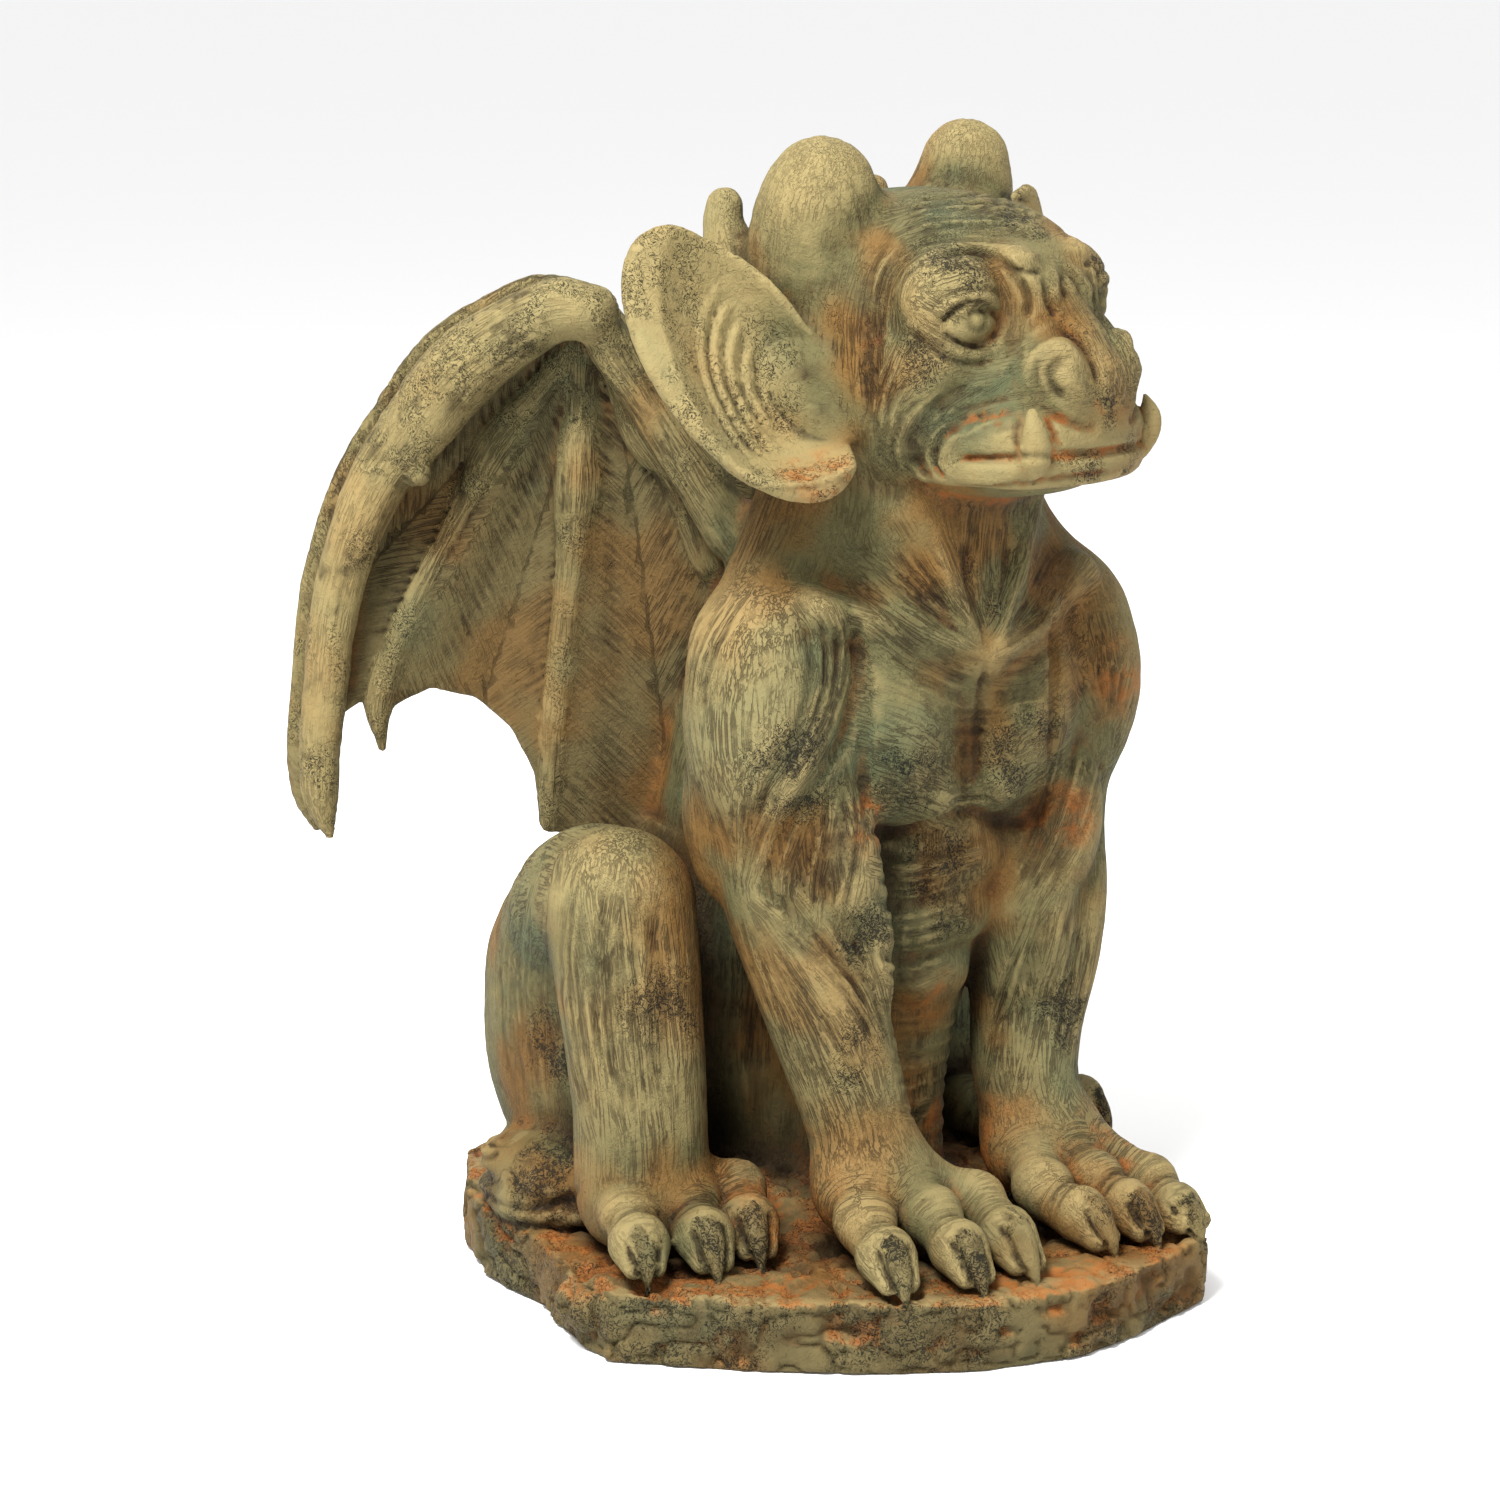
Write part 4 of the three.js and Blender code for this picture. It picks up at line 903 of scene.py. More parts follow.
def carve_body():
    # Edge of the shoulder muscle: a strap between two grooves
    carve([(805, 600), (832, 616), (844, 650), (836, 695), (815, 745), (785, 795), (757, 840)], 4.5, 3)
    carve([(796, 612), (812, 650), (808, 700), (790, 750), (762, 800), (745, 835)], 3.5, -2.2)
    carve([(846, 598), (857, 640), (856, 690), (842, 740), (815, 785)], 4, -3)
    carve_between([(806, 606), (824, 640), (824, 690), (803, 745), (770, 797)],
                  [(838, 610), (852, 650), (844, 700), (822, 752), (794, 792)], 1.5, -1.5)
    carve_between([(722, 590), (690, 640), (680, 700), (688, 760)],
                  [(752, 592), (716, 645), (702, 700), (704, 760)], 1.6, -1.4)
    carve_between([(705, 780), (722, 830), (735, 885)], [(790, 770), (762, 830), (748, 880)], 1.6, -1.3)
    # Front of the upper arm
    carve([(842, 745), (812, 790), (788, 830), (768, 880), (770, 915)], 3.6, -2.4)
    carve([(862, 770), (868, 820), (866, 860)], 3, -2)
    carve_between([(812, 795), (796, 840), (784, 885), (790, 925)],
                  [(856, 770), (863, 825), (856, 880), (845, 930)], 1.5, -1.4)
    # Forearm
    carve([(752, 880), (790, 912), (830, 950), (866, 1000)], 3.5, -2.2)
    carve_between([(760, 905), (800, 942), (848, 992), (882, 1052)],
                  [(846, 905), (866, 945), (884, 995), (893, 1045)], 1.6, -1.6)
    carve_between([(735, 900), (752, 960), (778, 1030), (812, 1110)],
                  [(765, 930), (795, 975), (838, 1040), (870, 1110)], 1.6, -1)
    # Collar bones, notch and the neck's cords
    carve([(868, 575), (905, 612), (945, 638), (984, 652)], 5, 2.2)
    carve([(1062, 590), (1045, 622), (1015, 645), (992, 654)], 4.5, 2)
    carve([(975, 520), (968, 570), (978, 615), (986, 648)], 4, -2.5)
    carve([(1008, 520), (1006, 570), (998, 615), (990, 648)], 3, -1.6)
    carve([(935, 520), (945, 570), (968, 620), (984, 648)], 4.5, 2.4)
    carve([(1030, 530), (1020, 575), (1003, 620), (992, 648)], 4.5, 2)
    carve_between([(865, 560), (905, 592), (945, 622), (982, 648)],
                  [(905, 530), (930, 570), (955, 605), (980, 640)], 1.5, -1.4)
    carve_between([(1060, 588), (1042, 615), (1016, 638), (994, 652)],
                  [(1032, 545), (1020, 585), (1006, 620), (992, 645)], 1.5, -1.3)
    # Breasts
    carve([(986, 655), (979, 700), (977, 750), (973, 806)], 2.6, -1.8, washed=0.5)
    carve([(864, 832), (900, 832), (940, 820), (972, 812), (1000, 822), (1030, 820), (1048, 798)], 3.5, -3.4)
    carve([(862, 645), (866, 700), (864, 760), (864, 826)], 4, -2.6)
    carve([(1053, 600), (1056, 660), (1055, 720), (1050, 795)], 4, -3.4)
    carve_between([(872, 600), (915, 632), (960, 655), (984, 662)],
                  [(880, 655), (915, 680), (950, 698), (976, 706)], 1.5, -1)
    carve_between([(1058, 640), (1040, 655), (1015, 662), (994, 664)],
                  [(1050, 700), (1030, 706), (1008, 708), (990, 706)], 1.5, -1)
    carve_between([(945, 712), (962, 714), (980, 713), (1008, 715)],
                  [(945, 800), (960, 798), (978, 796), (1008, 802)], 1.4, -1)
    # Belly
    for high, low in [(852, 848), (898, 892), (950, 946)]:
        carve([(870, high), (900, high + 8), (940, high + 2), (985, low - 10)], 3, -1.8)
    carve([(928, 836), (926, 880), (916, 930), (910, 965)], 3, -1.4)
    carve_between([(872, 866), (900, 872), (930, 868), (970, 858)],
                  [(878, 975), (900, 980), (920, 978), (942, 968)], 1.4, -1.1)
    carve_between([(884, 1000), (900, 1004), (915, 1004), (930, 998)],
                  [(896, 1110), (905, 1112), (915, 1112), (924, 1108)], 1.4, -0.9)
    # Left arm
    carve_between([(1072, 665), (1084, 690), (1094, 712)], [(1132, 655), (1126, 685), (1118, 716)], 1.4, -1.5)
    carve_between([(1062, 720), (1050, 780), (1030, 840), (1005, 890)],
                  [(1106, 740), (1094, 800), (1075, 850), (1040, 910)], 1.6, -1.3)
    carve_between([(1040, 900), (1020, 950), (1000, 1010), (985, 1080)],
                  [(1095, 900), (1088, 960), (1075, 1020), (1060, 1090)], 1.6, -1.1)


def carve_toad():
    carve([(468, 1184), (490, 1200), (522, 1208), (560, 1202), (584, 1186)], 2.6, -2.6)
    carve([(474, 1206), (500, 1220), (540, 1226), (576, 1214)], 1.8, -1.4)
    carve([(486 + 10 * math.cos(a), 1150 + 9 * math.sin(a)) for a in EYE_TURNS], 1.6, -1.6)
    carve([(484, 1149), (486, 1151), (489, 1152)], 3, 1.6)


def carve_limbs():
    # Haunch and shin, and their crease
    carve([(640, 900), (660, 960), (665, 1030), (662, 1100)], 4, -2.6)
    carve_between([(510, 900), (500, 980), (505, 1050), (520, 1110)],
                  [(560, 860), (548, 960), (550, 1040), (565, 1120)], 1.6, -1)
    carve_between([(575, 860), (562, 950), (568, 1040), (590, 1130)],
                  [(660, 880), (650, 960), (652, 1050), (660, 1120)], 1.6, -1.2)


def sculpt():
    build_trunk()
    build_chest()
    for s in SIDES:
        build_leg(s)
        build_arm(s)
        build_hand(s)
    build_toad()
    build_base()
    build_skull()
    build_muzzle()
    build_face()
    build_horns()
    comb_head()
    for s in SIDES:
        add(6, ear(s), "ear")
        build_wing(s)
        carve_wing(s)
    carve_face()
    carve_body()
    carve_limbs()
    carve_toad()
    # The underside is flat
    floor = -(LOW[2] + CELL * np.arange(COUNT[2]))
    np.maximum(clay, floor.astype(np.float32), out=clay)


# From the clay to a mesh: one point in each cell that the surface crosses, and a face round each crossed edge
def surface():
    inside = clay < 0
    stride = np.array([COUNT[1] * COUNT[2], COUNT[2], 1])
    values = clay.ravel()
    cells, points, faces = [], [], []
    for axis in range(3):
        b, c = (axis + 1) % 3, (axis + 2) % 3
        here = [slice(None)] * 3
        there = [slice(None)] * 3
        here[axis] = slice(0, -1)
        there[axis] = slice(1, None)
        index = np.argwhere(inside[tuple(here)] != inside[tuple(there)])
        flat = index @ stride
        start, end = values[flat], values[flat + stride[axis]]
        point = LOW + CELL * index
        point[:, axis] += CELL * start / (start - end)
        ring = np.stack([flat, flat - stride[b], flat - stride[b] - stride[c], flat - stride[c]], 1)
        ring = np.where((start < 0)[:, None], ring, ring[:, ::-1])
        cells.append(ring.ravel())
        points.append(np.repeat(point, 4, 0))
        faces.append(ring)
    used, number = np.unique(np.concatenate(cells), return_inverse=True)
    share = np.bincount(number)
    points = np.concatenate(points)
    middle = np.stack([np.bincount(number, points[:, i]) / share for i in range(3)], 1)
    return middle, number.reshape(-1, 4)


def normals_of(points, faces):
    across = np.cross(points[faces[:, 2]] - points[faces[:, 0]], points[faces[:, 3]] - points[faces[:, 1]])
    total = np.stack([np.bincount(faces.ravel(), np.repeat(across[:, i], 4), len(points)) for i in range(3)], 1)
    return total / np.maximum(np.linalg.norm(total, axis=1), 1e-12)[:, None]


def to_frame(points):
    return (np.asarray(points) - MIDDLE) * MM


def make_mesh(name, points, faces):
    """A mesh object from arrays of points and of faces with equal corner counts."""
    mesh = bpy.data.meshes.new(name)
    corners = faces.shape[1]
    mesh.vertices.add(len(points))
    mesh.vertices.foreach_set("co", to_frame(points).astype(np.float32).ravel())
    mesh.loops.add(faces.size)
    mesh.loops.foreach_set("vertex_index", faces.astype(np.int32).ravel())
    mesh.polygons.add(len(faces))
    mesh.polygons.foreach_set("loop_start", np.arange(0, faces.size, corners, dtype=np.int32))
    mesh.update(calc_edges=True)
    piece = bpy.data.objects.new(name, mesh)
    bpy.context.collection.objects.link(piece)
    return piece


# What an edge's length in metres counts in the thinning, set against squared metres of error
CARE_WEIGHT = 2e-4
CARE_LEVELS = 20
CARE_FACE, CARE_SEEN, CARE_REST, CARE_BELOW = 0.93, 0.6, 0.38, 0.06
SEEN_STEP = 5


def seen_by_camera(points):
    """Which of the points nothing hides from the camera."""
    spots = np.arange(0, FRAME, SEEN_STEP, dtype=float)
    depth = np.full((len(spots), len(spots)), np.inf)
    for row, up in enumerate(spots):
        line = np.column_stack([spots, np.full(len(spots), up)])
        depth[row] = depth_along(line)
    d = points - CAMERA_EYE
    ahead = d @ -CAMERA_BACK
    scale = LENS * FRAME / SENSOR / ahead
    x = FRAME / 2 + d @ CAMERA_RIGHT * scale
    y = FRAME / 2 - d @ CAMERA_UP * scale
    column = np.clip(np.rint(x / SEEN_STEP), 0, len(spots) - 1).astype(int)
    row = np.clip(np.rint(y / SEEN_STEP), 0, len(spots) - 1).astype(int)
    return ahead < depth[row, column] + 9


def care_of(points, normals):
    """How much of the fine mesh is kept: most on the face and what the camera sees, least below."""
    facing = ease(normals @ CAMERA_BACK, -0.2, 0.1) * seen_by_camera(points)
    on_head = ease(np.linalg.norm(points - head(0, 40, 0), axis=1), 105, 85)
    below = ease(normals[:, 2], -0.8, -0.95) * ease(points[:, 2], 6, 3)
    return lerp(lerp(CARE_REST, lerp(CARE_SEEN, CARE_FACE, on_head), facing), CARE_BELOW, below)


def thin(piece, care):
    """Thins the mesh to its number of triangles, keeping more of them where care is high."""
    group = piece.vertex_groups.new(name="care")
    levels = np.round(care * CARE_LEVELS).astype(int)
    for level in range(1, CARE_LEVELS):
        group.add(np.flatnonzero(levels == level).tolist(), level / CARE_LEVELS, "REPLACE")
    modifier = piece.modifiers.new("Thin", "DECIMATE")
    modifier.ratio = TRIANGLES / (2 * len(piece.data.polygons))
    modifier.use_collapse_triangulate = True
    modifier.vertex_group = group.name
    modifier.invert_vertex_group = True
    modifier.vertex_group_factor = CARE_WEIGHT
    depsgraph = bpy.context.evaluated_depsgraph_get()
    mesh = bpy.data.meshes.new_from_object(piece.evaluated_get(depsgraph))
    piece.modifiers.clear()
    piece.vertex_groups.clear()
    piece.data = mesh


def build_camera():
    camera = bpy.data.objects.new("camera", bpy.data.cameras.new("camera"))
    camera.data.lens = LENS
    camera.data.sensor_width = SENSOR
    camera.location = to_frame(CAMERA_EYE)
    camera.rotation_euler = Vector(CAMERA_BACK).to_track_quat("Z", "Y").to_euler()
    bpy.context.collection.objects.link(camera)
    bpy.context.scene.camera = camera


def build_light(name, azimuth, elevation, away, size, watts, color=(1, 1, 1)):
    """A soft square light that looks at the object's middle from an azimuth and elevation in degrees."""
    a, e = math.radians(azimuth), math.radians(elevation)
    back = Vector((math.sin(a) * math.cos(e), -math.cos(a) * math.cos(e), math.sin(e)))
    light = bpy.data.objects.new(name, bpy.data.lights.new(name, "AREA"))
    light.data.size = size
    light.data.energy = watts
    light.data.color = color
    light.location = Vector((0, 0, 0.3)) + back * away
    light.rotation_euler = back.to_track_quat("Z", "Y").to_euler()
    bpy.context.collection.objects.link(light)


def build_studio():
    build_light("key_light", -64, 52, 2.2, 0.7, 120)
    build_light("fill_light", 20, 20, 2.6, 2.0, 8)
    build_light("back_light", 150, 50, 2.4, 1.4, 16)
    world = bpy.data.worlds.new("studio")
    world.use_nodes = True
    world.node_tree.nodes["Background"].inputs["Color"].default_value = (1, 1, 1, 1)
    world.node_tree.nodes["Background"].inputs["Strength"].default_value = 1.0
    bpy.context.scene.world = world
    bpy.context.scene.view_settings.view_transform = "Standard"


def build_floor():
    mesh = bpy.data.meshes.new("floor")
    r = 20
    mesh.from_pydata([(-r, -r, 0), (r, -r, 0), (r, r, 0), (-r, r, 0)], [], [(0, 1, 2, 3)])
    floor = bpy.data.objects.new("floor", mesh)
    bpy.context.collection.objects.link(floor)
    material = bpy.data.materials.new("floor")
    material.use_nodes = True
    shader = material.node_tree.nodes["Principled BSDF"]
    shader.inputs["Base Color"].default_value = (0.9, 0.9, 0.9, 1)
    shader.inputs["Roughness"].default_value = 0.9
    mesh.materials.append(material)


# Relief. Seeded noise from 0 to 1 with a cell of one unit
GRAIN_SIDE = 64
GRAIN = np.random.default_rng(7).random((GRAIN_SIDE,) * 3)


def noise(places):
    cell = np.floor(places).astype(int)
    share = places - cell
    share = share * share * (3 - 2 * share)
    total = np.zeros(len(places))
    for corner in np.ndindex(2, 2, 2):
        weight = np.prod(np.where(corner, share, 1 - share), 1)
        x, y, z = ((cell + corner) % GRAIN_SIDE).T
        total += weight * GRAIN[x, y, z]
    return total


def kind_at(points, normals):
    """What each surface point is made as."""
    index = np.rint((points - normals - LOW) / CELL).astype(int)
    x, y, z = np.clip(index, 0, COUNT - 1).T
    return kinds[x, y, z]


def frames_of(run):
    """Two directions across a run at each of its points, turning with it as little as they can."""
    along = np.gradient(run[:, :3], axis=0)
    along /= np.linalg.norm(along, axis=1)[:, None]
    side = np.cross(along[0], [0.31, 0.91, 0.27])
    frames = []
    for direction in along:
        side = unit(side - direction * (side @ direction))
        frames.append([side, np.cross(direction, side)])
    return np.array(frames)


def beside_guide(run, turn, points):
    """How far each point is past a guide's radius, and its place across and along the strands there."""
    frames = frames_of(run)
    nearest = np.full(len(points), np.inf)
    local = np.zeros((len(points), 3))
    passed = 0
    for i, step in enumerate(np.diff(run, axis=0)):
        span = np.linalg.norm(step[:3])
        offset = points - run[i, :3]
        t = np.clip(offset @ step[:3] / span ** 2, 0, 1)
        offset -= t[:, None] * step[:3]
        away = np.linalg.norm(offset, axis=1) - run[i, 3] - t * step[3]
        near = away < nearest
        frame = frames[i] + t[near, None, None] * (frames[i + 1] - frames[i])
        across = np.einsum("nij,nj->ni", frame, offset[near])
        local[near] = np.column_stack([across, passed + t[near] * span])
        nearest[near] = away[near]
        passed += span
    if turn:
        radius = run[:, 3].mean()
        round_it = np.arctan2(local[:, 1], local[:, 0]) * radius
        out = np.hypot(local[:, 0], local[:, 1])
        along = local[:, 2]
        local = np.column_stack([
            round_it * math.cos(turn) + along * math.sin(turn), out,
            along * math.cos(turn) - round_it * math.sin(turn),
        ])
    return nearest, local


VEIN_TURN = math.radians(36)


def beside_vein(points):
    """Place across and along the wing's strokes, which run down to the vein in each panel's middle."""
    t = WING_SWEEP * (np.abs(points[:, 0]) + points[:, 1])
    n = WING_SWEEP * (np.abs(points[:, 0]) - points[:, 1])
    angle = np.arctan2(points[:, 2] - WRIST[1], t - WRIST[0])
    away = np.hypot(points[:, 2] - WRIST[1], t - WRIST[0])
    panel = np.clip(np.searchsorted(DIGIT_ANGLES, angle) - 1, 0, len(DIGIT_ANGLES) - 2)
    middle = (np.array(DIGIT_ANGLES)[panel] + np.array(DIGIT_ANGLES)[panel + 1]) / 2
    along = away * np.cos(angle - middle)
    aside = away * np.sin(angle - middle)
    side = np.where(aside > 0, 1, -1)
    across = along * math.sin(VEIN_TURN) + np.abs(aside) * math.cos(VEIN_TURN)
    down = along * math.cos(VEIN_TURN) - np.abs(aside) * math.sin(VEIN_TURN)
    return np.column_stack([across, n * 0.3 + 40 * side + 90 * panel, down])


GUIDE_REACH = 26


def flow_at(points, place):
    """Each point's place across and along the strands, and how clearly one guide leads there."""
    nearest = np.full(len(points), np.inf)
    second = np.full(len(points), np.inf)
    flow = points.copy()
    for number, (kind, run, turn) in enumerate(guides):
        reach = run[:, 3].max() + GUIDE_REACH
        low, high = run[:, :3].min(0) - reach, run[:, :3].max(0) + reach
        chosen = np.flatnonzero((place == KINDS.index(kind)) & ((points > low) & (points < high)).all(1))
        away, local = beside_guide(run, turn, points[chosen])
        best = away < nearest[chosen]
        second[chosen] = np.where(best, nearest[chosen], np.minimum(second[chosen], away))
        flow[chosen[best]] = local[best] + [number * 11.7, number * 5.3, 0]
        nearest[chosen[best]] = away[best]
    wing = place == KINDS.index("membrane")
    flow[wing] = beside_vein(points[wing])
    nearest[wing] = 0
    clear = ease(np.where(np.isfinite(nearest), second - nearest, 0), 0, 5)
    return flow, np.where(wing, 1, clear)


def strands(flow, pitch, length):
    """Grooves between strands: 0 on a strand and 1 in the bottom of a groove."""
    wavy = noise(flow / [pitch, pitch, length])
    return 1 - np.minimum(np.abs(wavy - 0.5) * 6, 1)


# How deep the strands are cut, and how rough the surface is, for each kind
STRAND_DEPTH = {"body": 0.32, "horn": 0.6, "membrane": 0.3, "bone": 0.7, "front": 0.6, "face": 0.15, "toad": 0.3}
ROUGHNESS = {
    "base": 1.8, "ear": 0.4, "body": 0.35, "face": 0.3, "horn": 0.6, "bone": 0.7, "front": 0.8, "toad": 0.8,
    "claw": 0.5,
}


def by_kind(values, place):
    table = np.array([values.get(kind, 0) for kind in KINDS])
    return table[place]


def relief(points, place, flow, clear):
    """Height of the carved strands and of the rough stone."""
    patchy = ease(noise(points / 38 + 9), 0.25, 0.7)
    cut_in = strands(flow, 5.5, 60) * clear * lerp(0.3, 1, patchy) * by_kind(STRAND_DEPTH, place)
    rough = noise(points / 19) + 0.45 * noise(points / 8 + 20) + 0.25 * noise(points / 3.7 + 40) - 0.85
    chips = np.maximum(noise(points / [17, 17, 9] + 60) + 0.5 * noise(points / 5 + 80) - 0.8, 0)
    chipped = chips * by_kind({"base": 13, "toad": 2, "front": 1}, place)
    split = ease(np.abs(noise(points / [14, 14, 8] + 90) - 0.5), 0.06, 0.01)
    chipped += split * by_kind({"base": 2, "toad": 0.7, "front": 0.3, "ear": 0.3}, place)
    return rough * by_kind(ROUGHNESS, place) * 1.6 - cut_in - chipped


# Hollows, for the finish
def blurred(solid, half):
    """The share of solid in a box of 2 half + 1 cells round each cell, taken twice."""
    for _ in range(2):
        for axis in range(3):
            padded = np.pad(solid, [(half + 1, half) if i == axis else (0, 0) for i in range(3)], mode="edge")
            total = np.cumsum(padded, axis, dtype=np.float64)
            ahead = np.take(total, range(2 * half + 1, total.shape[axis]), axis)
            behind = np.take(total, range(0, total.shape[axis] - 2 * half - 1), axis)
            solid = ((ahead - behind) / (2 * half + 1)).astype(np.float32)
    return solid


def sampled(field, cell, points):
    """A field's value at points, between its cells."""
    spot = np.clip((points - LOW) / cell, 0, np.array(field.shape) - 1.001)
    first = spot.astype(int)
    share = spot - first
    total = np.zeros(len(points))
    for corner in np.ndindex(2, 2, 2):
        x, y, z = (first + corner).T
        total += np.prod(np.where(corner, share, 1 - share), 1) * field[x, y, z]
    return total


def soft_solid(field, cell):
    return np.clip(0.5 - field / cell, 0, 1).astype(np.float32)


class Finish:
    """Node-building helpers of one material."""

    def __init__(self, name):
        self.material = bpy.data.materials.new(name)
        self.material.use_nodes = True
        self.nodes = self.material.node_tree.nodes
        self.links = self.material.node_tree.links
        self.shader = self.nodes["Principled BSDF"]

    def node(self, kind, **inputs):
        node = self.nodes.new(kind)
        for name, value in inputs.items():
            self.set(node.inputs[name.replace("_", " ")], value)
        return node

    def set(self, socket, value):
        if isinstance(value, bpy.types.NodeSocket):
            self.links.new(value, socket)
        else:
            socket.default_value = value

    def math(self, operation, first, second=0.0, third=0.0):
        node = self.nodes.new("ShaderNodeMath")
        node.operation = operation
        for socket, value in zip(node.inputs, (first, second, third)):
            self.set(socket, value)
        return node.outputs[0]

    def times(self, *values):
        total = values[0]
        for value in values[1:]:
            total = self.math("MULTIPLY", total, value)
        return total

    def ramp(self, value, low, high, start=0.0, end=1.0):
        """Rises smoothly from start to end as the value goes from low to high."""
        node = self.nodes.new("ShaderNodeMapRange")
        node.interpolation_type = "SMOOTHSTEP"
        for name, number in zip(("Value", "From Min", "From Max", "To Min", "To Max"), (value, low, high, start, end)):
            self.set(node.inputs[name], number)
        return node.outputs["Result"]

    def attribute(self, name):
        node = self.nodes.new("ShaderNodeAttribute")
        node.attribute_name = name
        return node

    def channels(self, name):
        """The three channels of a colour kept on the mesh."""
        return self.node("ShaderNodeSeparateColor", Color=self.attribute(name).outputs["Color"]).outputs[:3]

    def noise(self, vector, scale, detail=2.0, roughness=0.5, distortion=0.0):
        node = self.node(
            "ShaderNodeTexNoise", Vector=vector, Scale=scale, Detail=detail,
            Roughness=roughness, Distortion=distortion,
        )
        return node.outputs["Fac"]

    def scaled(self, vector, factors):
        node = self.nodes.new("ShaderNodeVectorMath")
        node.operation = "MULTIPLY"
        self.set(node.inputs[0], vector)
        node.inputs[1].default_value = factors
        return node.outputs[0]

    def blend(self, factor, first, second, mode="MIX"):
        node = self.nodes.new("ShaderNodeMix")
        node.data_type = "RGBA"
        node.blend_type = mode
        self.set(node.inputs["Factor"], factor)
        for socket, value in zip((s for s in node.inputs if s.type == "RGBA"), (first, second)):
            self.set(socket, value)
        return next(s for s in node.outputs if s.type == "RGBA")

    def bump(self, height, distance, normal=None, strength=1.0):
        node = self.node("ShaderNodeBump", Height=height, Distance=distance, Strength=strength)
        if normal is not None:
            self.set(node.inputs["Normal"], normal)
        return node.outputs["Normal"]


def colour(red, green, blue):
    """A colour as it looks on a screen, from 0 to 255, made linear for the shader."""
    def linear(v):
        v /= 255
        return v / 12.92 if v <= 0.04045 else ((v + 0.055) / 1.055) ** 2.4
    return (linear(red), linear(green), linear(blue), 1)


# Colours of the coat. PALE is also the painted highlight on bulges and ridges, and UMBER also the painted shade in
# hollows, recesses and creases.
SAGE = colour(84, 79, 50)
PALE = colour(138, 122, 81)
TAN = colour(100, 71, 33)
TEAL = colour(71, 78, 54)
RUST = colour(132, 76, 30)
BROWN = colour(52, 36, 16)
UMBER = colour(30, 21, 9)
SOOT = colour(12, 11, 7)


